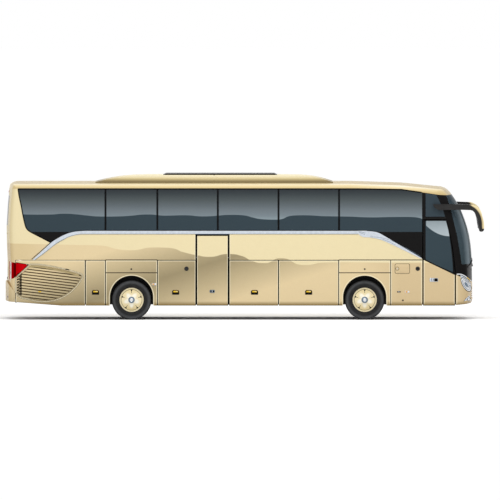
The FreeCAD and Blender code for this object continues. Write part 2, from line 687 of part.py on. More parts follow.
def door_brackets(x_range, heights):
    """Eyes on the inner face of a leaf that the arms' pins turn in."""
    x = door_post_x(x_range) - arm_r
    made = []
    for z in heights:
        outer = -(half_width(z) - leaf) - 1.0
        near, far = arm_thick / 2 + 6, arm_thick / 2 + 20
        ears = [box(x - 30, x + 30, outer, post_y + 26, z - far, z - near),
                box(x - 30, x + 30, outer, post_y + 26, z + near, z + far)]
        hole = Part.makeCylinder(pin_r + pin_clear, 100, V(x, post_y, z - 50))
        made += [e.cut(hole) for e in ears]
    return made


def door_arm(x_range, heights):
    x = door_post_x(x_range)
    foot = post_foot + bond_gap
    pieces = [Part.makeCylinder(post_r, heights[-1] + 100.0 - foot, V(x, post_y, foot))]
    path = [(x, post_y), (x - 40.0, post_y + arm_bulge), (x - arm_r + 100.0, post_y + arm_bulge),
            (x - arm_r, post_y)]
    for z in heights:
        low = z - arm_thick / 2
        for (ax, ay), (bx, by) in zip(path, path[1:]):
            run = V(bx - ax, by - ay, 0)
            across = V(-run.y, run.x, 0).normalize() * (arm_width / 2)
            corners = [(ax + across.x, ay + across.y), (bx + across.x, by + across.y),
                       (bx - across.x, by - across.y), (ax - across.x, ay - across.y)]
            pieces.append(prism_xy(corners, low, low + arm_thick))
        pieces += [Part.makeCylinder(arm_width / 2, arm_thick, V(px, py, low)) for px, py in path[1:]]
        pieces.append(Part.makeCylinder(pin_r, arm_thick + 36.0, V(path[-1][0], post_y, low - 18.0)))
    return fuse(pieces)


# Underframe, axles and wheels.
def chassis_frame():
    low, high, front_low = bay_floor_z - rail_height, 720.0, 480.0
    lower = [(-5900.0, high), (-2650.0, high), (-2300.0, low), (2480.0, low), (2750.0, high),
             (3620.0, high), (3900.0, front_low), (5480.0, front_low)]
    upper = [(x, z + rail_height - bond_gap) for x, z in reversed(lower)]
    rails = [prism_xz([*lower, *upper], s * rail_y - rail_width / 2,
                      s * rail_y + rail_width / 2) for s in (RIGHT, LEFT)]
    crossmembers = (        # place, height
        (-5860.0, high), (-4250.0, high), (-2500.0, 600.0), (-1500.0, low), (0.0, low), (1500.0, low),
        (2660.0, 620.0), (3640.0, high - 20), (4500.0, front_low), (5430.0, front_low),
    )
    bars = [box(x - 40, x + 40, -rail_y, rail_y, z + 10, z + rail_height - 20) for x, z in crossmembers]
    lugs = []
    for x0, x1, eye_x, z in ((5400.0, 5640.0, front_eye_x, front_low + 40),
                             (-6040.0, -5820.0, rear_eye_x, high + 40)):
        plate = box(x0, x1, -70, 70, z, z + 30)
        lugs.append(plate.cut(Part.makeCylinder(tow_eye_r, 100, V(eye_x, 0, z - 30))))
    reach = half_body - 95.0
    outriggers = [box(x - 30, x + 30, y0, reach, front_low + 20, front_low + 80)
                  for x, y0 in ((4200.0, -reach), (5350.0, -rail_y))]
    return fuse([*rails, *bars, *outriggers, *lugs])


def luggage_bay():
    """Bay floor and the bulkheads that carry the cabin floor."""
    x0, x1 = rear_arch_x[1] + 8, front_arch_x[0] - 8
    y = half_body - wall - bond_gap
    top = floor_z - bond_gap
    plates = [box(x0, x1, -y, y, bay_floor_z, bay_floor_z + bay_sheet)]
    well = (mid_door_x[0] - 22, mid_door_x[1] + 22)
    plates += [box(x0, x0 + bay_sheet, -y, y, bay_floor_z, top),
               box(x1 - bay_sheet, x1, -y, y, bay_floor_z, top)]
    plates += [box(x - bay_sheet / 2, x + bay_sheet / 2, -y, y, bay_floor_z, top)
               for x in (mid_door_x[0] - 12, mid_door_x[1] + 12)]
    posts = ((RIGHT, bay_flaps_right[2][0]), (LEFT, bay_flaps_left[2][0]), (LEFT, bay_flaps_left[1][0]))
    for side, x in posts:
        post = box(x - bay_sheet / 2, x + bay_sheet / 2, -y, 300 - y, bay_floor_z, top)
        plates.append(on_side(post, side))
    floor = fuse(plates)
    return floor.cut(box(well[0] + 20, well[1] - 20, -1300, -470, 300, bay_floor_z + bay_sheet + 1))


def cabin_floor():
    y = half_body - wall - bond_gap
    top = floor_z + floor_thick
    plate = box(shell_seam_x + 20, 4640, -y, y, floor_z, top)
    well_x = (mid_door_x[0] - 2, mid_door_x[1] + 2)
    stairwell = box(well_x[0], well_x[1], -1300, -520, floor_z - 1, top + 1)
    plate = plate.cut([stairwell, box(4340, 4700, -aisle_half, aisle_half, floor_z - 1, top + 1)])
    edge = step_setback - half_body
    steps = [(edge, post_foot), (-1000.0, post_foot), (-1000.0, 650.0), (-840.0, 650.0), (-840.0, 870.0),
             (-680.0, 870.0), (-680.0, 1090.0), (-520.0, 1090.0), (-520.0, floor_z + 10),
             (-480.0, floor_z + 10), (-480.0, 1040.0), (-960.0, post_foot - 35), (edge, post_foot - 35)]
    mid_steps = prism_yz(steps, mid_door_x[0], mid_door_x[1])
    deck = box(4640, 5790, -200, y, deck_z - floor_thick, deck_z).cut(front_clearance())
    riser = box(4640, 4680, -y, y, deck_z - floor_thick, top)
    riser = riser.cut(box(4600, 4700, -aisle_half, aisle_half, deck_z, top + 1))
    inner = [(edge, post_foot), (-960.0, post_foot), (-960.0, 600.0), (-770.0, 600.0), (-770.0, 770.0),
             (-580.0, 770.0), (-580.0, deck_z), (-190.0, deck_z), (-190.0, deck_z - 40),
             (-500.0, deck_z - 40), (-500.0, 700.0), (-900.0, post_foot - 35), (edge, post_foot - 35)]
    entry = prism_yz(inner, 4680.0, 5520.0)
    aisle = [(4340.0, floor_z + 10), (4340.0, 1208.0), (4490.0, 1208.0), (4490.0, 1075.0),
             (4641.0, 1075.0), (4641.0, deck_z - 40), (4560.0, deck_z - 40), (4290.0, 1230.0),
             (4290.0, floor_z + 10)]
    aisle_steps = prism_xz(aisle, -aisle_half - 1.0, aisle_half + 1.0)
    return fuse([plate, mid_steps, deck, riser, entry, aisle_steps])


def wheel_houses():
    """Liners over the wheels: a rolled sheet and an inner wall each."""
    sheet, inner_r, inner_y, low = 12.0, 640.0, 560.0, skirt_z + 7.0
    outer_y = half_body - wall - bond_gap
    made = []
    z = wheel_r + 10.0
    for x in (front_axle_x, rear_axle_x):
        for side in (RIGHT, LEFT):
            y0, y1 = -outer_y, -inner_y
            roll = cylinder_y(x, z, inner_r, y0, y1).cut(cylinder_y(x, z, inner_r - sheet, y0, y1 - sheet))
            slot = box(x - 200, x + 200, y1 - sheet - 1, y1 + 1, low - 100, 715)
            beside = side_slab(RIGHT, x - 800, x + 800, skirt_z, seam_z, -5.0, wall + bond_gap)
            made.append(on_side(roll.cut([box(x - 800, x + 800, y0 - 1, y1 + 1, -200, low), slot, beside]),
                                side))
    return Part.makeCompound(made)


kingpin_y, kingpin_r = 955.0, 30.0
spindle_r = 45.0


def front_axle():
    """Dropped beam with an upright eye at each end for the kingpin, and its air springs."""
    beam = [(-880.0, 560.0), (-880.0, 480.0), (-700.0, 480.0), (-560.0, 380.0), (560.0, 380.0),
            (700.0, 480.0), (880.0, 480.0), (880.0, 560.0),
            (680.0, 560.0), (540.0, 470.0), (-540.0, 470.0), (-680.0, 560.0)]
    pieces = [prism_yz(beam, front_axle_x - 50, front_axle_x + 50)]
    for s in (RIGHT, LEFT):
        eye = Part.makeCylinder(58, 150, V(front_axle_x, s * kingpin_y, wheel_r - 75))
        link = box(front_axle_x - 45, front_axle_x + 45, min(s * 860, s * kingpin_y),
                   max(s * 860, s * kingpin_y), 485, 555)
        pieces += [eye, link]
    axle = fuse(pieces)
    holes = [Part.makeCylinder(kingpin_r + 0.08, 300,
                               V(front_axle_x, s * kingpin_y, wheel_r - 150)) for s in (RIGHT, LEFT)]
    springs = [Part.makeCylinder(105, 720 - 470 - 2 * bond_gap,
                                 V(front_axle_x, s * rail_y, 470 + bond_gap)) for s in (RIGHT, LEFT)]
    return axle.cut(holes), springs


def knuckle(side):
    """Fork around the axle's eye, kingpin, web and spindle, all one steered piece."""
    y = -kingpin_y
    fork_gap, ear = 6.0, 40.0
    ears = [Part.makeCylinder(58, ear, V(front_axle_x, y, wheel_r + 75 + fork_gap)),
            Part.makeCylinder(58, ear, V(front_axle_x, y, wheel_r - 75 - fork_gap - ear))]
    web_y = y - 70
    web = box(front_axle_x - 55, front_axle_x + 55, web_y - 30, web_y, wheel_r - 75 - fork_gap - ear,
              wheel_r + 75 + fork_gap + ear)
    arms = [box(front_axle_x - 55, front_axle_x + 55, web_y, y, z, z + ear)
            for z in (wheel_r + 75 + fork_gap, wheel_r - 75 - fork_gap - ear)]
    pin = Part.makeCylinder(kingpin_r, 2 * (75 + fork_gap) + 10,
                            V(front_axle_x, y, wheel_r - 75 - fork_gap - 5))
    spindle = cylinder_y(front_axle_x, wheel_r, spindle_r, web_y - 30 - 133, web_y - 10)
    return on_side(fuse([*ears, web, *arms, pin, spindle]), side)


def rear_axle():
    tube = cylinder_y(rear_axle_x, wheel_r, 75, -600, 600)
    ends = cylinder_y(rear_axle_x, wheel_r, spindle_r, -1180, 1180)
    drum = Part.makeSphere(210, V(rear_axle_x, 0, wheel_r))
    drum = drum.common(box(rear_axle_x - 170, rear_axle_x + 240, -190, 190, 330, 740))
    arms = [box(rear_axle_x - 470, rear_axle_x + 470, s * rail_y - 45, s * rail_y + 45, wheel_r - 110,
                wheel_r - 40) for s in (RIGHT, LEFT)]
    casing = fuse([tube, ends, drum, *arms])
    springs = [Part.makeCylinder(115, 720 - (wheel_r - 40) - 2 * bond_gap,
                                 V(rear_axle_x + dx, s * rail_y, wheel_r - 40 + bond_gap))
               for s in (RIGHT, LEFT) for dx in (-350, 200)]
    return casing, springs


def revolve_y(points, x):
    """Turns a (radius, y) outline about the axle line at x."""
    face = Part.Face(Part.makePolygon([V(x, y, wheel_r + r) for r, y in [*points, points[0]]]))
    return face.revolve(V(x, 0, wheel_r), V(0, 1, 0), 360)


def tyre(x, y):
    """One tyre, its middle at y on the right side."""
    half = tyre_width / 2
    bead = half - 42 - bond_gap
    sides = (               # radius, half width
        (rim_seat_r + 2, bead), (rim_r + bond_gap, bead), (rim_r + 5, half - 30), (362.0, half - 8),
        (430.0, half), (496.0, half - 14), (wheel_r, half - 44),
    )
    points = [(r, y - w) for r, w in sides] + [(r, y + w) for r, w in reversed(sides)]
    return revolve_y(points, x)


hub_r = 88.0


def rim(x, y, facing, slots=5):
    """One rim: a drop-centre barrel and a dished disc with keyhole slots."""
    half = tyre_width / 2 - 32
    seat = rim_seat_r + 2 - bond_gap
    barrel = [(seat - 14, -half), (rim_r, -half), (rim_r, -half + 10), (seat, -half + 10),
              (seat, half - 10), (rim_r, half - 10), (rim_r, half), (seat - 14, half)]
    pieces = [revolve_y([(r, y + w) for r, w in barrel], x)]
    out = y + facing * (tyre_width / 2 - 40)      # outer face of the disc near its rim
    back = out - facing * 16
    dished = [(seat - 20, out), (235.0, out + facing * 6), (120.0, out + facing * 18),
              (95.0, out + facing * 22), (spindle_r + 20, out + facing * 22),
              (spindle_r + 20, back), (235.0, back - facing * 4), (seat - 10, back)]
    disc = revolve_y(dished, x)
    holes = []
    keyhole = (             # radius, distance across
        (178.0, -4.0), (178.0, 4.0), (238.0, 7.0), (264.0, 25.0), (264.0, -25.0), (238.0, -7.0),
    )
    for i in range(slots):
        angle = math.radians(90 + 360 / slots * i)
        c, s = math.cos(angle), math.sin(angle)
        corners = [V(x + r * c - t * s, y - 200, wheel_r + r * s + t * c)
                   for r, t in (*keyhole, keyhole[0])]
        holes.append(Part.Face(Part.makePolygon(corners)).extrude(V(0, 400, 0)))
    pieces.append(disc.cut(holes) if holes else disc)
    return pieces, out


def hub(x, y0, y1):
    return cylinder_y(x, wheel_r, hub_r, y0, y1)


bore_wall = 2.0             # closed end of the front hub


def front_wheel(side):
    y = -front_track
    pieces, out = rim(front_axle_x, y, -1)
    body = fuse([*pieces, hub(front_axle_x, out - 46, out + 50)])
    bore = cylinder_y(front_axle_x, wheel_r, spindle_r + pin_clear, out - 46 + bore_wall, -900.0)
    return on_side(tyre(front_axle_x, y), side), on_side(body.cut(bore), side)


def rear_wheels(side):
    """Twin wheels on one hub."""
    outer, inner = -(rear_track + twin_spacing / 2), -(rear_track - twin_spacing / 2)
    outside, out = rim(rear_axle_x, outer, -1)
    inside, back = rim(rear_axle_x, inner, 1, slots=0)
    body = fuse([*outside, *inside, hub(rear_axle_x, out - 46, back + 10)])
    bore = cylinder_y(rear_axle_x, wheel_r, spindle_r + pin_clear, out - 30, back + 20)
    tyres = Part.makeCompound([tyre(rear_axle_x, outer), tyre(rear_axle_x, inner)])
    return on_side(tyres, side), on_side(body.cut(bore), side)


# Inside.
wheel_centre = V(5260, 640, 1690)
steering_tilt = math.radians(28)
steering_axis = V(-math.sin(steering_tilt), 0, math.cos(steering_tilt))
steering_shaft_r = 30.0


def steering_shaft(radius, length):
    return Part.makeCylinder(radius, length - 30, wheel_centre - steering_axis * length, steering_axis)


def dashboard():
    profile = [(5420.0, deck_z), (5390.0, 1500.0), (5450.0, 1640.0), (5560.0, 1700.0), (5790.0, 1560.0),
               (5800.0, deck_z + 60), (5780.0, deck_z)]
    desk = prism_xz(profile, -560.0, 1130.0).cut(box(5300, 5900, -600, 1200, deck_z - 1, deck_z + bond_gap))
    return desk.cut([front_clearance(), steering_shaft(steering_shaft_r + pin_clear, 400.0)])


def front_clearance():
    """What lies outside the front lining, so that inner pieces follow its curve."""
    return box(5000, 6400, -1500, 1500, 300, 3600).cut(front_block(wall + 3.0))


def steering_wheel():
    axis = steering_axis
    ring = Part.makeTorus(222, 16, wheel_centre, axis)
    boss = Part.makeCylinder(48, 50, wheel_centre - axis * 35, axis)
    across = V(0, 1, 0)
    fore = axis.cross(across)
    spokes = []
    for angle in (0.0, 120.0, 240.0):
        out = across * math.cos(math.radians(angle + 90)) + fore * math.sin(math.radians(angle + 90))
        spokes.append(Part.makeCylinder(11, 200, wheel_centre + out * 25, out))
    return fuse([ring, boss, *spokes, steering_shaft(steering_shaft_r, 275.0)])


def driver_seat():
    profile = [(4790.0, deck_z + bond_gap), (5090.0, deck_z + bond_gap), (5060.0, 1290.0), (5200.0, 1320.0),
               (5190.0, 1430.0), (4850.0, 1420.0), (4740.0, 2200.0),
               (4690.0, 2200.0), (4700.0, 1420.0), (4720.0, 1290.0), (4820.0, 1290.0)]
    return prism_xz(profile, 390.0, 890.0)


row_pitch, first_row_x, rows = 820.0, -5420.0, 12
bench_y = (aisle_half, half_body - 95.0)


def bench(x):
    base = floor_z + floor_thick + bond_gap
    profile = [(x + 120, base), (x + 300, base), (x + 270, base + 310), (x + 500, base + 330),
               (x + 500, base + 440), (x + 130, base + 430), (x, base + 1130),
               (x - 110, base + 1130), (x, base + 350), (x + 130, base + 310)]
    return prism_xz(profile, *bench_y)


def passenger_benches():
    made = []
    for i in range(rows):
        x = first_row_x + row_pitch * i
        made.append(bench(x))
        if not mid_door_x[0] - 560 < x < mid_door_x[1] + 160:
            made.append(mirrored(bench(x)))
    return Part.makeCompound(made)


def luggage_racks():
    made = []
    for side in (RIGHT, LEFT):
        z0, z1, lip = 2960.0, 3200.0, 640.0
        outer0, outer1 = half_width(z0) - wall - bond_gap, half_width(z1) - wall - bond_gap
        points = [(-outer0, z0), (-lip, z0 - 40), (-lip + 30, z0 + 90), (-lip, z0 + 90), (-lip - 30, z0),
                  (-outer1 + 40, z0 + 40), (-outer1 + 30, z1), (-outer1, z1)]
        made.append(on_side(prism_yz(points, -5700.0, 4300.0), side))
    return Part.makeCompound(made)


def mirror(side):
    """Arm along the pillar head, and a housing that hangs ahead of the windscreen's corner."""
    face_y = -(half_width(2880.0) + bond_gap)
    arm = [(4944.0, 3035.0), (5330.0, 3040.0), (5614.0, 3039.0), (5935.0, 3026.0),
           ((6030.0, 3003.0), (6095.0, 2950.0)), (6055.0, 2800.0), (5988.0, 2866.0),
           (5935.0, 2882.0), (5614.0, 2892.0), (5200.0, 2885.0), ((5060.0, 2900.0), (4944.0, 3035.0))]
    head = [(5960.0, 3018.0), ((6150.0, 2925.0), (6235.0, 2740.0)), ((6275.0, 2600.0), (6288.5, 2440.0)),
            (6286.0, 2385.0), ((6268.0, 2335.0), (6215.0, 2317.0)), ((6170.0, 2330.0), (6155.0, 2380.0)),
            ((6120.0, 2600.0), (6055.0, 2798.0)), ((6010.0, 2860.0), (5960.0, 2880.0))]
    bar = prism_xz(arm, face_y - 85.0, face_y)
    housing = prism_xz(head, -half_body - 95.0, 125.0 - half_body)
    return on_side(fuse([bar, housing]), side)


def engine():
    """One block that stands in for engine and gearbox, on four mounting feet between the frame rails."""
    foot_y = rail_y - rail_width / 2 - bond_gap
    block = box(-5810, -4420, -375, 375, 560, 1240)
    feet = [box(x, x + 110, -foot_y, foot_y, 740, 820) for x in (-5520, -4800)]
    lid_clearance = prism_xz([(-5900.0, 500.0), (-5900.0, 700.0), (-5700.0, 500.0)])
    return fuse([block, *feet]).cut(lid_clearance)


# Assembly.
def solids(*shapes):
    return Part.makeCompound([s for shape in shapes for s in shape.Solids])


def build():
    joint_x = roof_line[0][0]
    outer_rear, inner_rear = rear_hull(rear_levels, 0.0, joint_x), rear_hull(rear_levels, wall, joint_x)
    outer_front, inner_front = front_hull(0.0), front_hull(wall)
    rear_glass, rear_seat = rear_hull(rear_levels, glass), rear_hull(rear_levels, glass + bond_gap)
    front_glass, front_seat = front_hull(glass), front_hull(glass + bond_gap)
    front_shell = outer_front.cut(inner_front)
    front_skin = front_shell.cut(front_seat)

    nodes = {}
    nodes["roof"] = fuse([roof(outer_rear, inner_rear), roof(outer_front, inner_front)])
    for name, side in (("right", RIGHT), ("left", LEFT)):
        nodes[f"side_wall_{name}"] = side_wall(side)
        nodes[f"side_windows_{name}"] = side_windows(side)
    nodes["rear_wall"] = rear_wall(outer_rear, rear_seat, inner_rear)
    nodes["rear_window"] = outer_rear.cut(rear_glass).common(rear_window_box(bond_gap))
    nodes["rear_bumper"] = rear_bumper()
    nodes["tail_lamps"] = outer_rear.cut(inner_rear).common(tail_lamp_region())
    nodes["front_bumper"] = front_bumper(front_shell)
    nodes["front_mask"] = front_mask(front_shell)
    nodes["front_frame"] = front_frame(front_shell, front_skin)
    nodes["windscreen"] = outer_front.cut(front_glass).common(prism_xz(screen_steps(), inset=bond_gap))
    lamp_shell = outer_front.cut(front_hull(wall))
    nodes["headlamps"] = lamp_shell.common(headlamp_region(bond_gap))
    nodes["fog_lamps"] = lamp_shell.common(fog_lamp_region(bond_gap))
    nodes["belt_trim"] = solids(belt_trim(RIGHT), belt_trim(LEFT))
    raised = Part.Face(section(rear_x, roof_z + bond_gap, 0.0)).extrude(V(9000, 0, 0))
    nodes["roof_pod"] = roof_pod(raised)
    nodes["roof_pod_hatch"] = roof_pod_hatch()
    nodes["mirrors"] = solids(mirror(RIGHT), mirror(LEFT))

    for i, x_range in enumerate(bay_flaps_right):
        nodes[f"bay_flap_right_{i + 1}"] = flap(RIGHT, x_range)
    for i, x_range in enumerate(bay_flaps_left):
        nodes[f"bay_flap_left_{i + 1}"] = flap(LEFT, x_range)
    for name, side in (("right", RIGHT), ("left", LEFT)):
        nodes[f"service_flap_{name}"] = flap(side, service_flap_x)
        nodes[f"engine_flap_{name}"] = engine_flap(side)
    lid_inner = rear_hull(rear_levels, panel)
    nodes["engine_lid"] = engine_lid(outer_rear.cut(lid_inner))
    nodes["front_door"] = front_door()
    nodes["front_door_glass"] = pane(RIGHT, cab_glass(), 0.0)
    nodes["front_door_arm"] = door_arm(front_door_x, front_arms)
    nodes["mid_door"] = mid_door()
    nodes["mid_door_arm"] = door_arm(mid_door_x, mid_arms)

    nodes["chassis_frame"] = chassis_frame()
    nodes["luggage_bay"] = luggage_bay()
    nodes["cabin_floor"] = cabin_floor()
    nodes["wheel_houses"] = wheel_houses()
    beam, front_springs = front_axle()
    casing, rear_springs = rear_axle()
    nodes["front_axle"] = beam
    nodes["rear_axle"] = casing
    nodes["air_springs"] = Part.makeCompound([*front_springs, *rear_springs])
    for name, side in (("right", RIGHT), ("left", LEFT)):
        nodes[f"knuckle_{name}"] = knuckle(side)
        nodes[f"front_tyre_{name}"], nodes[f"front_rim_{name}"] = front_wheel(side)
        nodes[f"rear_tyres_{name}"], nodes[f"rear_rims_{name}"] = rear_wheels(side)
    nodes["engine"] = engine()
    nodes["dashboard"] = dashboard()
    nodes["steering_wheel"] = steering_wheel()
    nodes["driver_seat"] = driver_seat()
    nodes["passenger_benches"] = passenger_benches()
    nodes["luggage_racks"] = luggage_racks()
    return nodes


def main():
    os.makedirs("parts", exist_ok=True)
    nodes = build()
    for name, shape in nodes.items():
        shape.exportStep(f"parts/{name}.step")
        bounds = shape.BoundBox
        low = f"{bounds.XMin:9.1f}{bounds.YMin:9.1f}{bounds.ZMin:9.1f}"
        high = f"{bounds.XMax:9.1f}{bounds.YMax:9.1f}{bounds.ZMax:9.1f}"
        state = "valid" if shape.isValid() else "NOT VALID"
        count, volume = len(shape.Solids), shape.Volume / 1e9
        print(f"{name:22s}{count:3d} solids, {state}, {volume:8.4f} m3,", low, "to", high)
    print(len(nodes), "nodes")


main()
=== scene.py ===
import json
import math

import bmesh
import bpy
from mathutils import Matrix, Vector
from mathutils.bvhtree import BVHTree

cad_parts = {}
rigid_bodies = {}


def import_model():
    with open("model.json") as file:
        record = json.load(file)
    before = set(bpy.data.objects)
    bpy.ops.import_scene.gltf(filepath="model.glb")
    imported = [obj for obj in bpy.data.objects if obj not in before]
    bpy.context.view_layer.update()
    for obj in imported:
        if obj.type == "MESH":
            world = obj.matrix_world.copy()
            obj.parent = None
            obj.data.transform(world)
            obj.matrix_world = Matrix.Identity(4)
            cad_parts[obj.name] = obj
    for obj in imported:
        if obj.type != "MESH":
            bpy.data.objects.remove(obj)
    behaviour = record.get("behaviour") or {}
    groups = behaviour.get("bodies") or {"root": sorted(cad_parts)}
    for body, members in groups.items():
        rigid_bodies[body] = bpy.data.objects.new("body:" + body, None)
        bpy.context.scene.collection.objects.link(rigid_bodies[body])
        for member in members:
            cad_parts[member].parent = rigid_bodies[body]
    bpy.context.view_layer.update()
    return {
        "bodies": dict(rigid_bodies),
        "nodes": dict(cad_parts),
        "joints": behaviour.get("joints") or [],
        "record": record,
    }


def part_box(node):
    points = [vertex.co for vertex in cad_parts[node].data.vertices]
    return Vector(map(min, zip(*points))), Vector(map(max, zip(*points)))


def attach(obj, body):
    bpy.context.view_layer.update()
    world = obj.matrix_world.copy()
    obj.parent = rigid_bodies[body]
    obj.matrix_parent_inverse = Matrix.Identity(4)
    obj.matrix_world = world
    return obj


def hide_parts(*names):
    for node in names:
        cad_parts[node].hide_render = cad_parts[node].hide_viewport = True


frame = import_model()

nodes = frame["nodes"]
sides = {"right": -1, "left": 1}
axles = {"front": 3.155, "rear": -2.966}
wheelHeight = 0.522

# Outer skin of the side, in metres: height and half width.
skin = {"heights": (0.373, 0.560, 1.574, 3.441), "halves": (1.245, 1.275, 1.275, 1.225)}


def halfWidth(z):
    zs, ws = skin["heights"], skin["halves"]
    for a, b, wa, wb in zip(zs, zs[1:], ws, ws[1:]):
        if z <= b:
            return wa + (wb - wa) * (max(z, a) - a) / (b - a)
    return ws[-1]


def colour(r, g, b):
    scaled = (r / 255, g / 255, b / 255)
    return tuple(c / 12.92 if c <= 0.04045 else ((c + 0.055) / 1.055) ** 2.4 for c in scaled) + (1.0,)


# Meshes: a Piece gathers closed forms with several finishes into one object that rides on a body.
class Piece:
    def __init__(self, name, *materials):
        self.name, self.materials = name, materials
        self.mesh = bmesh.new()

    def loft(self, rings, material=0, closed=True, caps=True, around=True):
        rows = [[self.mesh.verts.new(p) for p in ring] for ring in rings]
        made = []
        pairs = list(zip(rows, rows[1:])) + ([(rows[-1], rows[0])] if not closed else [])
        for low, high in pairs:
            count = len(low)
            for i in range(count if around else count - 1):
                j = (i + 1) % count
                made.append(self.mesh.faces.new((low[i], low[j], high[j], high[i])))
        if caps and closed:
            made += [self.mesh.faces.new(rows[0][::-1]), self.mesh.faces.new(rows[-1])]
        for face in made:
            face.material_index = material
            face.smooth = True
        return made

    def prism(self, outline, place, low, high, material=0):
        return self.loft([[place(u, v, low) for u, v in outline], [place(u, v, high) for u, v in outline]],
                         material)

    def dome(self, outline, place, steps, material=0):
        # Rings of the outline, each scaled about its middle and set at its own height.
        cu = sum(u for u, v in outline) / len(outline)
        cv = sum(v for u, v in outline) / len(outline)
        rings = [[place(cu + (u - cu) * scale, cv + (v - cv) * scale, depth) for u, v in outline]
                 for scale, depth in steps]
        return self.loft(rings, material)

    def lathe(self, profile, place, steps=48, material=0, closed=False):
        rings = []
        for i in range(steps):
            angle = math.tau * i / steps
            rings.append([place(r * math.cos(angle), r * math.sin(angle), d) for r, d in profile])
        return self.loft(rings, material, closed=False, caps=False, around=closed)

    def ring(self, outline, place, width, low, high, material=0, closed=True):
        inner, outer = offsetLine(outline, -width / 2, closed), offsetLine(outline, width / 2, closed)
        rings = [[place(*a, low), place(*b, low), place(*b, high), place(*a, high)]
                 for a, b in zip(inner, outer)]
        return self.loft(rings, material, closed=not closed, caps=not closed)

    def tube(self, points, radius, sides=10, material=0, flat=1.0):
        rings = []
        for i, p in enumerate(points):
            ahead = (Vector(points[min(i + 1, len(points) - 1)])
                     - Vector(points[max(i - 1, 0)])).normalized()
            across = ahead.orthogonal().normalized() if i == 0 else (across - ahead
                    * across.dot(ahead)).normalized()
            up = ahead.cross(across)
            rings.append([Vector(p) + (across * math.cos(a) + up * math.sin(a) * flat) * radius
                          for a in (math.tau * k / sides for k in range(sides))])
        return self.loft(rings, material)

    def finish(self, body="coach_body", angle=35.0, bevel=0.0):
        bmesh.ops.recalc_face_normals(self.mesh, faces=self.mesh.faces)
        mesh = bpy.data.meshes.new(self.name)
        self.mesh.to_mesh(mesh)
        self.mesh.free()
        for material in self.materials:
            mesh.materials.append(material)
        obj = bpy.data.objects.new(self.name, mesh)
        bpy.context.scene.collection.objects.link(obj)
        if bevel:
            rounded = obj.modifiers.new("rounded", "BEVEL")
            rounded.width, rounded.segments, rounded.limit_method = bevel, 2, "ANGLE"
            rounded.angle_limit = math.radians(40)
        split = obj.modifiers.new("edges", "EDGE_SPLIT")
        split.split_angle = math.radians(angle)
        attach(obj, body)
        return obj


def offsetLine(points, distance, closed):
    count, moved = len(points), []
    for i, (u, v) in enumerate(points):
        before = points[i - 1] if closed or i else None
        after = points[(i + 1) % count] if closed or i < count - 1 else None
        normals = []
        for a, b in ((before, (u, v)), ((u, v), after)):
            if a and b:
                run = math.dist(a, b)
                normals.append(((b[1] - a[1]) / run, (a[0] - b[0]) / run))
        n = normals[0] if len(normals) == 1 else ((normals[0][0] + normals[1][0]) / 2,
                                                  (normals[0][1] + normals[1][1]) / 2)
        size = max(0.25, n[0] ** 2 + n[1] ** 2)
        moved.append((u + n[0] * distance / size, v + n[1] * distance / size))
    return moved


def roundRect(cu, cv, width, height, radius, steps=5):
    points = []
    for quarter, (su, sv) in enumerate(((1, 1), (-1, 1), (-1, -1), (1, -1))):
        for i in range(steps + 1):
            angle = math.pi / 2 * (quarter + i / steps)
            points.append((cu + su * (width / 2 - radius) + radius * math.cos(angle),
                           cv + sv * (height / 2 - radius) + radius * math.sin(angle)))
    return points


def circle(cu, cv, radius, steps=28):
    return [(cu + radius * math.cos(math.tau * i / steps), cv + radius * math.sin(math.tau * i / steps))
            for i in range(steps)]


def rounded(points, radius=0.02, steps=4):
    # Rounds the corners of an outline with arcs made of short chords.
    made, count = [], len(points)
    for i, p in enumerate(points):
        a, b = Vector(points[i - 1]), Vector(points[(i + 1) % count])
        p = Vector(p)
        reach = min(radius, (a - p).length * 0.45, (b - p).length * 0.45)
        start, end = p + (a - p).normalized() * reach, p + (b - p).normalized() * reach
        for k in range(steps + 1):
            t = k / steps
            made.append(tuple(start * (1 - t) ** 2 + p * 2 * t * (1 - t) + end * t ** 2))
    return made


def curveThrough(points, steps=6):
    # Catmull-Rom points between the given ones.
    made = []
    for i in range(len(points) - 1):
        p0, p1, p2, p3 = (Vector(points[max(0, min(len(points) - 1, i + k))]) for k in (-1, 0, 1, 2))
        for k in range(steps):
            t = k / steps
            made.append(tuple(0.5 * ((2 * p1) + (p2 - p0) * t + (2 * p0 - 5 * p1 + 4 * p2 - p3) * t * t
                                     + (3 * p1 - p0 - 3 * p2 + p3) * t ** 3)))
    made.append(tuple(points[-1]))
    return made


def sidePlace(side):
    return lambda x, z, depth: Vector((x, side * (halfWidth(z) + depth), z))


def wheelPlace(x, y, side):
    return lambda a, b, depth: Vector((x + a, side * (y + depth), wheelHeight + b))


trees = {}


def castOn(names, start, direction):
    # Nearest point of the named nodes along a ray, and the way that the surface faces there.
    best = None
    for name in names:
        if name not in trees:
            made = bmesh.new()
            made.from_mesh(nodes[name].data)
            trees[name] = BVHTree.FromBMesh(made)
            made.free()
        place, normal, _, distance = trees[name].ray_cast(Vector(start), Vector(direction))
        if place and (best is None or distance < best[2]):
            best = (place, normal, distance)
    return best


frontNodes = ("front_bumper", "front_mask", "front_frame", "windscreen", "headlamps", "fog_lamps", "roof")


def frontPlace(y, z, depth):
    # A point past the edge of the front moves in until it meets the coach.
    hit = None
    for step in range(30):
        hit = hit or castOn(frontNodes, (8.0, y * (1 - 0.01 * step), z), (-1, 0, 0))
    return hit[0] + Vector((depth, 0, 0))


def cornerPlace(side):
    # A place in the side view, carried on to the rounded front or rear corner.
    names = frontNodes + ("rear_wall", "rear_bumper", "tail_lamps", "front_door", "side_wall_right",
                          "side_wall_left")

    def place(x, z, depth):
        hit = None
        for step in range(30):
            hit = hit or castOn(names, (x * (1 - 0.0012 * step), side * 2.0, z), (0, -side, 0))
        out = hit[1] if hit[1].y * side > 0 else -hit[1]
        return hit[0] + out * depth
    return place


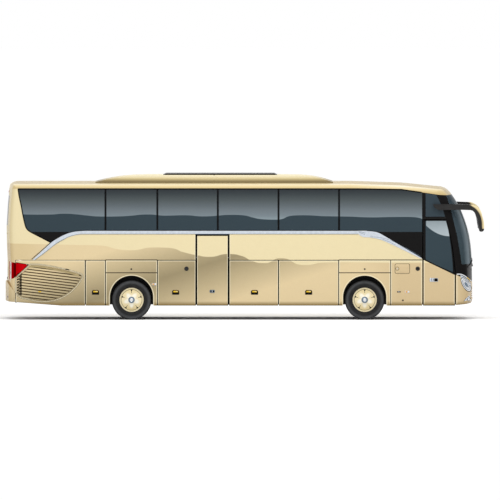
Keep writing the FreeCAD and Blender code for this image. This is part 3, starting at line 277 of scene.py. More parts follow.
rearNodes = ("rear_wall", "rear_bumper", "tail_lamps", "engine_lid", "rear_window", "roof")


def rearPlace(y, z, depth):
    hit = castOn(rearNodes, (-8.0, y, z), (1, 0, 0))
    return hit[0] - Vector((depth, 0, 0)) if hit else Vector((-6.2, y, z))


print("frame loaded")


# Materials: every one is made of nodes, and reads object coordinates, which are the coach's own.
class Shader:
    def __init__(self, name):
        self.material = bpy.data.materials.new(name)
        self.material.use_nodes = True
        self.tree = self.material.node_tree
        self.surface = self.tree.nodes["Principled BSDF"]

    def node(self, kind, **values):
        made = self.tree.nodes.new("ShaderNode" + kind)
        for key, value in values.items():
            if hasattr(made, key):
                setattr(made, key, value)
            else:
                made.inputs[key.replace("_", " ")].default_value = value
        return made

    def link(self, a, b):
        self.tree.links.new(a, b)

    def put(self, **values):
        for key, value in values.items():
            self.surface.inputs[key.replace("_", " ")].default_value = value

    def math(self, operation, a, b=None, c=None):
        made = self.node("Math", operation=operation)
        for socket, value in zip(made.inputs, (a, b, c)):
            if value is None:
                continue
            if isinstance(value, (int, float)):
                socket.default_value = value
            else:
                self.link(value, socket)
        return made.outputs[0]

    def place(self):
        if not hasattr(self, "placeNode"):
            coords = self.node("TexCoord")
            self.coords, self.normal = coords.outputs["Object"], coords.outputs["Normal"]
            self.placeNode = self.node("SeparateXYZ")
            self.link(self.coords, self.placeNode.inputs[0])
        return self.placeNode.outputs

    def endOn(self):
        # How far a surface looks along the coach: 0 on the sides, 1 at the ends.
        self.place()
        parts = self.node("SeparateXYZ")
        self.link(self.normal, parts.inputs[0])
        return self.math("ABSOLUTE", parts.outputs[0])

    def noise(self, scale, detail=3.0, roughness=0.5, stretch=None):
        self.place()
        source = self.coords
        if stretch:
            mapping = self.node("Mapping")
            mapping.inputs["Scale"].default_value = stretch
            self.link(source, mapping.inputs["Vector"])
            source = mapping.outputs[0]
        made = self.node("TexNoise")
        made.inputs["Scale"].default_value = scale
        made.inputs["Detail"].default_value = detail
        made.inputs["Roughness"].default_value = roughness
        self.link(source, made.inputs["Vector"])
        return made.outputs["Fac"]

    def ramp(self, factor, stops):
        made = self.node("ValToRGB")
        elements = made.color_ramp.elements
        while len(elements) < len(stops):
            elements.new(0.5)
        for element, (position, tone) in zip(elements, stops):
            element.position = position
            element.color = tone
        self.link(factor, made.inputs[0])
        return made.outputs[0]

    def mix(self, factor, a, b, blend="MIX"):
        made = self.node("Mix", data_type="RGBA", blend_type=blend)
        for socket, value in ((made.inputs[0], factor), (made.inputs[6], a), (made.inputs[7], b)):
            if isinstance(value, (int, float, tuple)):
                socket.default_value = value
            else:
                self.link(value, socket)
        return made.outputs[2]

    def between(self, value, low, high, toLow=0.0, toHigh=1.0):
        made = self.node("MapRange", clamp=True)
        for socket, v in zip(made.inputs, (value, low, high, toLow, toHigh)):
            if isinstance(v, (int, float)):
                socket.default_value = v
            else:
                self.link(v, socket)
        return made.outputs[0]

    def line(self, value, points):
        # A smooth line through (place, height) points: the two ranges are scaled to 0..1 for the curve.
        xs, zs = [p[0] for p in points], [p[1] for p in points]
        low, high = min(zs) - 0.01, max(zs) + 0.01
        across = self.between(value, xs[0], xs[-1])
        made = self.node("FloatCurve")
        curve = made.mapping.curves[0]
        while len(curve.points) < len(points):
            curve.points.new(0.5, 0.5)
        for point, (x, z) in zip(curve.points, points):
            point.location = ((x - xs[0]) / (xs[-1] - xs[0]), (z - low) / (high - low))
        made.mapping.update()
        self.link(across, made.inputs["Value"])
        return self.math("MULTIPLY_ADD", made.outputs[0], high - low, low)

    def bump(self, height, strength, distance):
        made = self.node("Bump")
        made.inputs["Strength"].default_value = strength
        made.inputs["Distance"].default_value = distance
        self.link(height, made.inputs["Height"])
        self.link(made.outputs[0], self.surface.inputs["Normal"])

    def base(self, socket):
        self.link(socket, self.surface.inputs["Base Color"])

    def rough(self, factor, low, high):
        self.link(self.between(factor, 0.3, 0.7, low, high), self.surface.inputs["Roughness"])


paint = {
    "champagne": colour(237, 222, 179), "gold": colour(230, 209, 166), "shadeAndMottle": colour(160, 146, 113),
    "front": colour(219, 196, 154), "rear": colour(221, 200, 155), "roof": colour(232, 212, 166),
    "pod": colour(246, 233, 190),
    "tuck": colour(146, 124, 80),
    # Crest of the painted reflection along the side, pale above and darker below: place and height in
    # metres.
    "crest": ((-6.30, 2.01), (-5.20, 1.985), (-4.30, 1.965), (-3.80, 1.955), (-3.35, 1.86), (-2.95, 1.83),
              (-2.45, 1.90), (-2.05, 1.895), (-1.65, 1.79), (-1.20, 1.69), (-0.90, 1.655), (-0.45, 1.73),
              (-0.10, 1.685), (0.25, 1.53), (0.55, 1.49), (0.93, 1.62), (1.25, 1.53), (1.60, 1.44),
              (2.00, 1.50), (2.60, 1.51), (3.60, 1.50), (6.30, 1.50)),
    "shadeSlope": 0.31, "shadeZ": 1.42, "shadeX": -1.116, "shadeReach": 1.15,
}


# Edges that catch the light beside the seams: place, lower and upper end, and the side on which
# the pale edge lies.
edges = {
    "upright": ((-6.016, 0.45, 1.57, 1), (-4.179, 0.40, 1.56, -1), (-4.179, 0.40, 1.56, 1),
        (-3.649, 0.40, 1.56, -1), (-3.649, 0.40, 1.56, 1), (-2.288, 0.40, 1.56, -1),
        (-2.288, 0.40, 1.56, 1), (-1.277, 0.40, 2.25, -1), (-1.255, 0.40, 2.21, 1),
        (-0.427, 0.40, 2.21, -1), (-0.405, 0.40, 2.25, 1), (0.893, 0.40, 1.56, -1), (0.893, 0.40, 1.56, 1),
        (2.474, 0.40, 1.56, -1), (2.474, 0.40, 1.56, 1), (3.836, 0.40, 1.56, -1), (3.836, 0.40, 1.56, 1),
        (4.667, 0.40, 1.60, -1), (4.695, 0.40, 1.60, 1), (5.525, 0.40, 1.20, -1), (5.556, 0.40, 1.17, 1)),
    "near": 0.012, "far": 0.034, "arches": tuple(axles.values()), "archZ": 0.593, "archRadius": 0.568,
}


def makePaint(name, seam=False):
    s = Shader(name)
    s.put(Metallic=0.0, IOR=1.45, Coat_Weight=0.06, Coat_Roughness=0.1, Coat_IOR=1.35,
          Specular_IOR_Level=0.1)
    x, y, z = s.place()
    # Painted reflection: pale champagne above the crest and darker gold below it, with a painted shade band
    # darkest along a slanting line, and their own tones towards the ends.
    crest = s.line(x, paint["crest"])
    under = s.between(s.math("SUBTRACT", crest, z), -0.004, 0.006)
    middle = s.math("MULTIPLY_ADD", x, paint["shadeSlope"],
                    paint["shadeZ"] - paint["shadeSlope"] * paint["shadeX"])
    away = s.math("ABSOLUTE", s.math("SUBTRACT", z, middle))
    share = s.math("DIVIDE", away, paint["shadeReach"])
    duneReflection = s.ramp(share, ((0.0, paint["shadeAndMottle"]), (0.25, colour(178, 162, 127)),
                          (0.5, colour(196, 179, 141)), (0.75, colour(213, 194, 154)),
                          (1.0, paint["gold"])))
    duneReflection = s.mix(s.between(x, 3.0, 4.1), duneReflection, paint["front"])
    duneReflection = s.mix(s.between(x, -5.0, -5.8), duneReflection, s.mix(s.between(z, 0.9, 1.6), duneReflection, paint["rear"]))
    tone = s.mix(under, paint["champagne"], duneReflection)
    # Painted shade: darker towards the lower edge of the skirt.
    tone = s.mix(s.between(z, 0.49, 0.395), tone, paint["tuck"])
    glow = None
    for place, low, high, facing in edges["upright"]:
        off = s.math("MULTIPLY", s.math("SUBTRACT", x, place), facing)
        strip = s.math("MULTIPLY", s.between(off, edges["near"] - 0.004, edges["near"]),
                       s.between(off, edges["far"], edges["far"] - 0.012))
        tall = s.math("MULTIPLY", s.between(z, low, low + 0.05), s.between(z, high, high - 0.02))
        strip = s.math("MULTIPLY", strip, tall)
        if high > 2.0 or place > 4.6:
            strip = s.math("MULTIPLY", strip, s.between(y, 0.1, -0.1))
        glow = s.math("MAXIMUM", glow, strip) if glow else strip
    # A painted highlight under the top seam, and a painted highlight ring round each wheel arch.
    if seam:
        under = s.math("MULTIPLY", s.between(z, 1.532, 1.540), s.between(z, 1.560, 1.552))
        glow = s.math("MAXIMUM", glow, s.math("MULTIPLY", under, 0.8))
        for place in edges["arches"]:
            across = s.math("SUBTRACT", x, place)
            up = s.math("MAXIMUM", s.math("SUBTRACT", z, edges["archZ"]), 0.0)
            away = s.math("SQRT", s.math("ADD", s.math("MULTIPLY", across, across),
                                         s.math("MULTIPLY", up, up)))
            off = s.math("SUBTRACT", away, edges["archRadius"])
            glow = s.math("MAXIMUM", glow, s.math("MULTIPLY", s.between(off, 0.002, 0.006),
                                                  s.between(off, 0.030, 0.020)))
    # The painted highlights beside the seams, under the top seam and round the arches are mixed in here.
    tone = s.mix(s.math("MULTIPLY", glow, 0.75), tone, colour(252, 243, 212))
    slant = s.math("MULTIPLY_ADD", x, -0.468, 1.633 + 0.468 * 4.6)
    dark = s.math("MULTIPLY", s.between(x, 4.598, 4.602),
                  s.between(s.math("SUBTRACT", z, slant), -0.004, 0.002))
    if seam:
        dark = s.math("MAXIMUM", dark, s.math("MULTIPLY", s.between(z, 1.5610, 1.5620),
                                              s.between(z, 1.5755, 1.5745)))
    tone = s.mix(dark, tone, colour(24, 23, 22))
    # Painted shade: surfaces that face the ends of the coach are a little darker.
    tone = s.mix(s.between(s.endOn(), 0.30, 0.95, 0.0, 0.30), tone,
                 s.mix(1.0, tone, colour(214, 196, 156), "MULTIPLY"))
    fleck = s.noise(90.0, 2.0, 0.6)
    tone = s.mix(s.between(fleck, 0.35, 0.65, 0.0, 0.05), tone,
                 s.mix(1.0, tone, colour(120, 100, 70), "MULTIPLY"))
    s.base(tone)
    s.rough(s.noise(3.5, 4.0), 0.24, 0.34)
    s.bump(s.noise(160.0, 1.0), 0.05, 0.0005)
    return s.material


# The roof has a painted highlight, pale along its upper edge and reaching lower towards the front, and
# painted shade, golden just over the windows.
roofTones = {"low": 3.44, "high": 3.617, "from": 2.77, "fall": 0.055}


def makeRoofPaint():
    s = Shader("roofPaint")
    s.put(Coat_Weight=0.06, Coat_Roughness=0.1, Coat_IOR=1.35, Specular_IOR_Level=0.1)
    x, y, z = s.place()
    fall = s.math("MULTIPLY", s.math("MAXIMUM", s.math("SUBTRACT", x, roofTones["from"]), 0.0),
                  roofTones["fall"])
    level = s.between(s.math("ADD", z, fall), roofTones["low"], roofTones["high"])
    tone = s.ramp(level, ((0.0, colour(210, 186, 133)), (0.30, colour(218, 197, 148)),
                          (0.55, colour(230, 213, 170)), (0.8, colour(246, 236, 208)),
                          (1.0, colour(224, 205, 158))))
    tone = s.mix(s.between(s.math("ABSOLUTE", y), 1.02, 0.92), tone, colour(190, 170, 124))
    inside = s.between(x, -6.15, -6.05)
    s.base(s.mix(s.between(s.noise(80.0, 2.0), 0.35, 0.65, 0.0, 0.06), s.mix(inside, paint["roof"], tone),
                 paint["shadeAndMottle"]))
    s.rough(s.noise(3.0, 4.0), 0.24, 0.36)
    s.bump(s.noise(140.0, 1.0), 0.05, 0.0005)
    return s.material


def makePodPaint():
    s = Shader("podPaint")
    s.put(Coat_Weight=0.08, Coat_Roughness=0.08, Specular_IOR_Level=0.1)
    x, y, z = s.place()
    # Painted shade: the pod darkens towards its foot.
    tone = s.ramp(s.between(z, 3.60, 3.785), ((0.0, colour(126, 112, 78)), (0.2, colour(152, 136, 98)),
                                              (0.5, colour(200, 184, 138)), (0.85, colour(236, 222, 180)),
                                              (1.0, colour(238, 226, 186))))
    s.base(s.mix(s.between(s.noise(60.0, 2.0), 0.35, 0.65, 0.0, 0.06), tone, paint["shadeAndMottle"]))
    s.rough(s.noise(5.0, 4.0), 0.28, 0.4)
    s.bump(s.noise(140.0, 1.0), 0.05, 0.0005)
    return s.material


# Mirror housings: black, with a gold cap along the front and outer edge.
mirrorCap = ((2.36, 6.236), (2.44, 6.232), (2.60, 6.222), (2.74, 6.186), (2.84, 6.130), (2.93, 6.050),
             (2.985, 5.965), (3.03, 5.90))


def makeMirrorPaint():
    s = Shader("mirrorHousing")
    s.put(Coat_Weight=0.3, Coat_Roughness=0.05, Specular_IOR_Level=0.25)
    x, y, z = s.place()
    edge = s.line(z, mirrorCap)
    cap = s.math("MULTIPLY", s.between(s.math("SUBTRACT", x, edge), -0.002, 0.002),
                 s.between(z, 2.392, 2.400))
    gold = s.mix(s.between(s.math("SUBTRACT", x, edge), 0.0, 0.05), colour(170, 150, 108),
                 colour(244, 226, 176))
    s.base(s.mix(cap, s.mix(s.between(s.noise(7.0), 0.4, 0.6), colour(24, 23, 22), colour(32, 31, 30)),
                 gold))
    s.rough(s.noise(5.0), 0.2, 0.35)
    s.bump(s.noise(200.0), 0.05, 0.0004)
    return s.material


# Wheels: cream, with a painted highlight as a pale star between the slots; how far out the discs of the
# rims lie.
star = {"frontFace": 1.150, "rearFace": 1.174}


def aboutWheel(s):
    x, y, z = s.place()
    centre = s.between(x, -0.1, 0.1, axles["rear"], axles["front"])
    across, up = s.math("SUBTRACT", x, centre), s.math("SUBTRACT", z, wheelHeight)
    radius = s.math("SQRT", s.math("ADD", s.math("MULTIPLY", across, across), s.math("MULTIPLY", up, up)))
    return across, up, radius


def makeWheelPaint():
    s = Shader("wheelPaint")
    s.put(Coat_Weight=0.12, Coat_Roughness=0.08, Specular_IOR_Level=0.15)
    across, up, radius = aboutWheel(s)
    turn = s.math("ARCTAN2", across, up)
    lobes = s.math("COSINE", s.math("MULTIPLY", turn, 5.0))
    reach = s.math("MULTIPLY_ADD", lobes, -0.045, 0.150)
    glow = s.math("MULTIPLY", s.between(s.math("SUBTRACT", radius, reach), 0.040, -0.030), 0.85)
    tone = s.ramp(s.between(up, -0.28, 0.28), ((0.0, colour(222, 202, 150)), (0.5, colour(244, 230, 190)),
                                               (1.0, colour(234, 216, 166))))
    tone = s.mix(glow, tone, colour(255, 252, 238))
    tone = s.mix(s.between(s.math("ABSOLUTE", s.math("SUBTRACT", radius, 0.272)), 0.007, 0.004), tone,
                 colour(140, 128, 92))
    tone = s.mix(s.between(radius, 0.279, 0.283), tone, colour(226, 214, 178))
    # Painted shade: surfaces behind the disc face, and the keyhole slots, are near-black.
    x, y, z = s.place()
    face = s.between(x, -0.1, 0.1, star["rearFace"], star["frontFace"])
    deep = s.math("MULTIPLY", s.between(s.math("SUBTRACT", face, s.math("ABSOLUTE", y)), 0.0, 0.003),
                  s.between(radius, 0.100, 0.104))
    folded = s.math("DIVIDE", s.math("ARCCOSINE", s.math("MULTIPLY", lobes, 0.9999)), 5.0)
    aside = s.math("MULTIPLY", radius, s.math("SINE", folded))
    wide = s.between(radius, 0.226, 0.262, 0.006, 0.027)
    slotShade = s.math("MULTIPLY", s.between(s.math("SUBTRACT", wide, aside), 0.0, 0.003),
                  s.between(radius, 0.176, 0.180))
    slotShade = s.math("MULTIPLY", slotShade, s.between(radius, 0.270, 0.267))
    s.base(s.mix(s.math("MAXIMUM", deep, slotShade), tone, colour(16, 15, 14)))
    s.rough(s.noise(9.0, 4.0), 0.22, 0.36)
    s.bump(s.noise(150.0, 1.0), 0.06, 0.0004)
    return s.material


def makePlain(name, tone, roughness, other=None, level=0.3, grain=220.0, depth=0.0004, strength=0.15,
              coat=0.0, patches=6.0):
    s = Shader(name)
    s.put(Specular_IOR_Level=level, Coat_Weight=coat)
    darker = other or tuple(c * 0.82 for c in tone[:3]) + (1.0,)
    s.base(s.mix(s.between(s.noise(patches, 4.0), 0.35, 0.7), tone, darker))
    s.rough(s.noise(patches * 2.3, 3.0), roughness * 0.9, min(1.0, roughness * 1.12))
    s.bump(s.noise(grain, 2.0), strength, depth)
    return s.material


tailTones = ((0.0, (150, 6, 12)), (0.035, (160, 6, 12)), (0.040, (244, 240, 238)), (0.092, (250, 248, 246)),
             (0.097, (178, 0, 8)), (0.20, (150, 0, 6)), (0.26, (84, 0, 2)), (0.315, (92, 0, 3)),
             (0.325, (30, 0, 0)), (0.345, (30, 0, 0)), (0.355, (176, 2, 10)), (0.75, (200, 8, 18)),
             (0.97, (178, 4, 12)), (1.0, (50, 0, 2)))


def makeTailLens():
    # Red lens with a painted highlight as a white upright strip by its rear corner, and a darker band.
    s = Shader("tailLens")
    s.put(Roughness=0.3, Specular_IOR_Level=0.0, IOR=1.1)
    x, y, z = s.place()
    tone = s.ramp(s.between(x, -6.170, -5.690), tuple((at, colour(*c)) for at, c in tailTones))
    tone = s.mix(s.between(x, -6.168, -6.172), tone, colour(170, 4, 10))
    s.base(tone)
    s.bump(s.noise(70.0, 2.0), 0.15, 0.0008)
    return s.material


black = colour(13, 12, 12)
glass = {
    # Lower edge of the painted sky reflection on the glass: place and height in metres.
    "wave": ((-6.00, 2.80), (-5.60, 2.762), (-5.05, 2.765), (-4.75, 2.785), (-4.45, 2.77), (-4.10, 2.735),
        (-3.75, 2.712), (-3.45, 2.712), (-2.95, 2.735), (-2.50, 2.765), (-2.10, 2.735), (-1.55, 2.745),
        (-1.10, 2.715), (-0.70, 2.735), (-0.30, 2.755), (0.20, 2.69), (0.80, 2.63), (1.10, 2.70),
        (1.50, 2.745), (2.10, 2.72), (2.75, 2.71), (3.35, 2.69), (3.90, 2.70), (4.35, 2.70), (4.70, 2.60)),
    "pillars": (-3.649, -2.288, -0.700, 0.893, 2.482), "pillarHalf": 0.026,
    "blackBelow": 2.308,
}


def makeSideGlass():
    s = Shader("tintedGlass")
    s.put(Roughness=0.05, Specular_IOR_Level=0.12, Alpha=0.95, IOR=1.5)
    x, y, z = s.place()
    wave = s.line(x, glass["wave"])
    above = s.between(s.math("SUBTRACT", z, wave), -0.004, 0.006)
    # Painted reflection: paler above the wavy edge and darker upwards, plain dark teal below it.
    skyReflection = s.ramp(s.between(z, 2.65, 3.441), ((0.0, colour(136, 150, 157)), (0.1, colour(122, 134, 141)),
                                             (0.27, colour(112, 122, 128)), (0.42, colour(98, 107, 112)),
                                             (0.62, colour(80, 88, 90)), (0.82, colour(60, 67, 70)),
                                             (1.0, colour(44, 49, 54))))
    tone = s.mix(above, colour(52, 66, 74), skyReflection)
    tone = s.mix(s.between(z, glass["blackBelow"] + 0.003, glass["blackBelow"] - 0.003), tone, black)
    for at in glass["pillars"]:
        off = s.math("ABSOLUTE", s.math("SUBTRACT", x, at))
        tone = s.mix(s.between(off, glass["pillarHalf"] + 0.006, glass["pillarHalf"]), tone,
                     s.mix(0.72, tone, colour(26, 26, 28)))
    tone = s.mix(s.between(x, 4.672, 4.676), tone, colour(54, 67, 75))
    tone = s.mix(borderOf(s, x, z), tone, black)
    tone = s.mix(s.between(x, -5.99, -6.0), tone, colour(44, 50, 54))
    s.base(tone)
    s.bump(s.noise(0.9, 1.0), 0.05, 0.01)
    return s.material


# Black printed borders of the cab's panes: the pillar behind the door, and the front pillar's
# rear edge by height.
border = {"pillar": (4.660, 4.752), "bar": (2.595, 2.705),
          "edge": ((1.10, 5.470), (1.445, 5.462), (2.217, 5.372), (2.62, 5.290), (2.90, 5.205),
                   (3.27, 5.040))}


def borderOf(s, x, z):
    pillar = s.math("MULTIPLY", s.between(x, border["pillar"][0], border["pillar"][0] + 0.004),
                    s.between(x, border["pillar"][1] + 0.004, border["pillar"][1]))
    front = s.between(s.math("SUBTRACT", x, s.line(z, border["edge"])), -0.003, 0.003)
    bar = s.math("MULTIPLY", s.between(z, border["bar"][0], border["bar"][0] + 0.006),
                 s.between(z, border["bar"][1] + 0.006, border["bar"][1]))
    bar = s.math("MULTIPLY", bar, s.between(x, border["pillar"][0], border["pillar"][0] + 0.004))
    return s.math("MAXIMUM", s.math("MAXIMUM", pillar, front), bar)


def makeCabGlass():
    # Door glass: slate, with a pale reflection near its top.
    s = Shader("cabGlass")
    s.put(Roughness=0.05, Specular_IOR_Level=0.12, Alpha=0.95, IOR=1.5)
    x, y, z = s.place()
    low = s.math("MULTIPLY_ADD", s.math("POWER", s.between(x, 5.42, 4.75), 2.2), 0.30, 2.19)
    patch = s.math("MULTIPLY", s.between(s.math("SUBTRACT", z, low), 0.0, 0.008),
                   s.between(z, 2.605, 2.595))
    patch = s.math("MULTIPLY", patch, s.between(x, 4.765, 4.772))
    pale = s.ramp(s.between(z, 2.2, 2.6), ((0.0, colour(190, 202, 208)), (1.0, colour(150, 162, 168))))
    tone = s.mix(patch, colour(54, 69, 77), pale)
    tone = s.mix(s.between(s.noise(1.2, 2.0), 0.4, 0.6, 0.0, 0.3), tone,
                 s.mix(0.5, tone, colour(48, 62, 70)))
    s.base(s.mix(borderOf(s, x, z), tone, black))
    return s.material


def makeScreenGlass():
    s = Shader("screenGlass")
    s.put(Roughness=0.05, Specular_IOR_Level=0.02, Alpha=0.8, IOR=1.12)
    x, y, z = s.place()
    tone = s.ramp(s.between(z, 1.5, 3.3), ((0.0, colour(62, 76, 82)), (0.6, colour(70, 84, 92)),
                                           (1.0, colour(60, 72, 80))))
    # A painted reflection: a paler streak near the front edge, seen from the side.
    edge = s.line(z, ((1.45, 5.935), (1.70, 5.925), (1.968, 5.900), (2.20, 5.862), (2.425, 5.806),
                      (2.62, 5.742), (2.798, 5.672), (2.93, 5.611), (3.27, 5.40)))
    off = s.math("SUBTRACT", edge, x)
    streakReflection = s.math("MULTIPLY", s.between(off, 0.0, 0.03), s.between(off, 0.16, 0.06))
    streakReflection = s.math("MULTIPLY", streakReflection, s.between(z, 3.0, 2.6))
    tone = s.mix(s.math("MULTIPLY", streakReflection, 0.7), tone, colour(140, 154, 162))
    s.base(s.mix(s.between(s.noise(1.1, 2.0), 0.4, 0.6, 0.0, 0.3), tone,
                 s.mix(0.5, tone, colour(84, 98, 106))))
    return s.material


def makeMetal(name, tone, roughness, scratch=(1.0, 60.0, 60.0), level=0.5):
    s = Shader(name)
    s.put(Metallic=1.0, Specular_IOR_Level=level)
    s.base(s.mix(s.between(s.noise(14.0, 3.0), 0.35, 0.65), tone,
                 tuple(c * 0.9 for c in tone[:3]) + (1.0,)))
    s.rough(s.noise(6.0, 4.0, 0.6, scratch), roughness * 0.8, roughness * 1.3)
    s.bump(s.noise(30.0, 2.0, 0.5, scratch), 0.04, 0.0004)
    return s.material


def makeTyre():
    s = Shader("tyreRubber")
    s.put(Specular_IOR_Level=0.2)
    across, up, radius = aboutWheel(s)
    # The paler band near the outer edge of the sidewall is a painted highlight.
    ring = s.ramp(s.between(radius, 0.30, 0.53), ((0.0, colour(40, 40, 42)), (0.25, colour(30, 30, 31)),
                                                  (0.45, colour(34, 35, 37)), (0.70, colour(76, 78, 81)),
                                                  (0.84, colour(62, 64, 67)), (0.92, colour(20, 20, 21)),
                                                  (1.0, colour(14, 14, 15))))
    s.base(s.mix(s.between(s.noise(9.0, 5.0), 0.35, 0.7, 0.0, 0.35), ring, colour(52, 50, 47)))
    s.rough(s.noise(24.0, 4.0), 0.62, 0.86)
    s.bump(s.noise(420.0, 3.0), 0.25, 0.0006)
    return s.material


def makeWeave(name, tone, other, scale=900.0):
    s = Shader(name)
    s.put(Specular_IOR_Level=0.2, Sheen_Weight=0.25, Sheen_Roughness=0.5)
    s.place()
    waves = []
    for direction in ("X", "Z"):
        wave = s.node("TexWave", wave_type="BANDS", bands_direction=direction)
        wave.inputs["Scale"].default_value = scale / 3
        wave.inputs["Distortion"].default_value = 0.6
        s.link(s.coords, wave.inputs["Vector"])
        waves.append(wave.outputs["Fac"])
    woven = s.math("MAXIMUM", *waves)
    dots = s.noise(38.0, 2.0, 0.4)
    tone = s.mix(s.between(dots, 0.56, 0.60), tone, other)
    s.base(s.mix(s.between(woven, 0.2, 0.9, 0.0, 0.35), tone,
                 s.mix(1.0, tone, colour(120, 120, 120), "MULTIPLY")))
    s.rough(s.noise(30.0), 0.82, 0.95)
    s.bump(woven, 0.35, 0.0006)
    return s.material


def makeLens(name, tone, inner, alpha=1.0, scale=55.0, level=0.4):
    s = Shader(name)
    s.put(Roughness=0.1, Specular_IOR_Level=level, Alpha=alpha, Coat_Weight=level / 2, Coat_Roughness=0.03)
    s.place()
    prisms = s.node("TexVoronoi", feature="F1", distance="CHEBYCHEV")
    prisms.inputs["Scale"].default_value = scale
    prisms.inputs["Randomness"].default_value = 0.0
    s.link(s.coords, prisms.inputs["Vector"])
    s.base(s.mix(s.between(prisms.outputs["Distance"], 0.1, 0.5), tone, inner))
    s.bump(prisms.outputs["Distance"], 0.3, 0.001)
    return s.material


mat = {
    "paint": makePaint("duneReflectionPaint"), "seamPaint": makePaint("duneReflectionSeamPaint", seam=True),
    "roof": makeRoofPaint(), "pod": makePodPaint(), "mirror": makeMirrorPaint(), "wheel": makeWheelPaint(),
    "glass": makeSideGlass(),
    "cabGlass": makeCabGlass(),
    "screen": makeScreenGlass(),
    "gloss": makePlain("blackPanel", colour(26, 25, 25), 0.25, level=0.02, strength=0.03, coat=0.01),
    "plastic": makePlain("blackPlastic", colour(34, 34, 35), 0.5),
    "deepBlack": makePlain("nearBlackAndShade", colour(10, 10, 11), 0.85, level=0.05),
    "rubber": makePlain("rubberSeal", colour(10, 10, 11), 0.75, level=0.06),
    "greyPlastic": makePlain("greyLining", colour(150, 150, 146), 0.6),
    "lining": makePlain("paleLining", colour(196, 194, 186), 0.7),
    "floor": makePlain("floorVinyl", colour(84, 80, 76), 0.55, colour(70, 68, 66), patches=40.0),
    "steel": makePlain("frameSteel", colour(44, 45, 48), 0.5, colour(56, 56, 58), level=0.4),
    "iron": makePlain("axleIron", colour(36, 36, 37), 0.62, colour(52, 50, 48), grain=90.0, strength=0.4),
    "bright": makeMetal("brightTrim", colour(222, 229, 238), 0.16),
    "hubSteel": makeMetal("hubSteel", colour(118, 134, 150), 0.3),
    "nutSteel": makeMetal("nutSteel", colour(205, 208, 212), 0.25),
    "reflector": makeMetal("lampReflector", colour(235, 238, 242), 0.08),
    "mirrorGlass": makeMetal("mirrorGlass", colour(200, 208, 214), 0.03),
    "tyre": makeTyre(),
    "seatCloth": makeWeave("seatCloth", colour(52, 62, 88), colour(132, 112, 74)),
    "seatSide": makeWeave("seatSideCloth", colour(44, 46, 54), colour(40, 42, 50)),
    "carpet": makeWeave("aisleCarpet", colour(72, 66, 62), colour(88, 80, 72), 500.0),
    "tail": makeTailLens(),
    "red": makeLens("redLens", colour(188, 2, 8), colour(150, 0, 4), 1.0, 55.0, 0.12),
    "darkRed": makeLens("darkRedLens", colour(92, 0, 3), colour(70, 0, 2), 1.0, 55.0, 0.12),
    "clearLens": makeLens("clearLens", colour(232, 236, 240), colour(200, 206, 212), 0.35, 40.0),
    "lamp": makePlain("lampBody", colour(214, 220, 226), 0.2, colour(196, 204, 212), level=0.3,
                      strength=0.03, coat=0.2),
    "amber": makeLens("amberLens", colour(250, 186, 24), colour(226, 150, 10)),
    "white": makeLens("whiteLens", colour(246, 247, 248), colour(226, 228, 230)),
    "screenDisplay": makePlain("displayGlass", colour(16, 20, 26), 0.1, level=0.4, strength=0.02),
    "cream": makePlain("paleEdge", colour(244, 232, 198), 0.4, level=0.1, strength=0.03),
    "browShade": makePlain("browShadeBand", colour(186, 168, 124), 0.45, colour(168, 150, 108), level=0.1,
                     strength=0.05),
    "yellow": makePlain("yellowPlastic", colour(244, 200, 36), 0.35),
    "grille": makePlain("grilleShade", colour(112, 98, 70), 0.6, colour(84, 73, 52), level=0.1),
}
print("materials made:", len(mat))


# CAD nodes that stay keep their shape and take one of these finishes.
finishes = {
    "paint": ("rear_wall", "rear_bumper", "front_bumper", "front_door", "mid_door", "engine_lid"),
    "seamPaint": ("side_wall_right", "side_wall_left"), "mirror": ("mirrors",),
    "roof": ("roof",), "pod": ("roof_pod",),
    "gloss": ("front_mask", "front_frame", "roof_pod_hatch"),
    "glass": ("side_windows_right", "side_windows_left", "rear_window"),
    "cabGlass": ("front_door_glass",), "screen": ("windscreen",),
    "bright": ("belt_trim",),
    "plastic": ("wheel_houses", "front_door_arm", "mid_door_arm", "dashboard", "steering_wheel",
                "driver_seat"),
    "lamp": ("headlamps", "fog_lamps"), "tail": ("tail_lamps",),
    "steel": ("chassis_frame", "luggage_bay"), "floor": ("cabin_floor",),
    "iron": ("front_axle", "rear_axle", "engine", "knuckle_right", "knuckle_left"),
    "rubber": ("air_springs",),
    "tyre": ("front_tyre_right", "front_tyre_left", "rear_tyres_right", "rear_tyres_left"),
    "wheel": ("front_rim_right", "front_rim_left", "rear_rims_right", "rear_rims_left"),
    "seatCloth": ("passenger_benches",), "greyPlastic": ("luggage_racks",),
}
for name in nodes:
    if "flap" in name:
        finishes["seamPaint"] += (name,)


def dress(obj, material, angle=32.0):
    mesh = obj.data
    mesh.materials.clear()
    mesh.materials.append(material)
    if "custom_normal" in mesh.attributes:
        mesh.attributes.remove(mesh.attributes["custom_normal"])
    mesh.shade_smooth()
    weld = obj.modifiers.new("weld", "WELD")
    weld.merge_threshold = 0.0001
    split = obj.modifiers.new("edges", "EDGE_SPLIT")
    split.split_angle = math.radians(angle)


for finish, names in finishes.items():
    for name in names:
        dress(nodes[name], mat[finish])
missing = [n for n in nodes if not any(n in names for names in finishes.values())]
print("nodes dressed, without a finish:", missing)


# Seams, seals and trim on the sides.
seams = {"edge": 0.0055, "lift": 0.0008, "depth": 0.004, "doorEdge": 0.013, "frontDoorEdge": 0.012,
         "inlay": 0.010,
         "low": 0.374, "high": 3.44, "engineTop": 1.54}


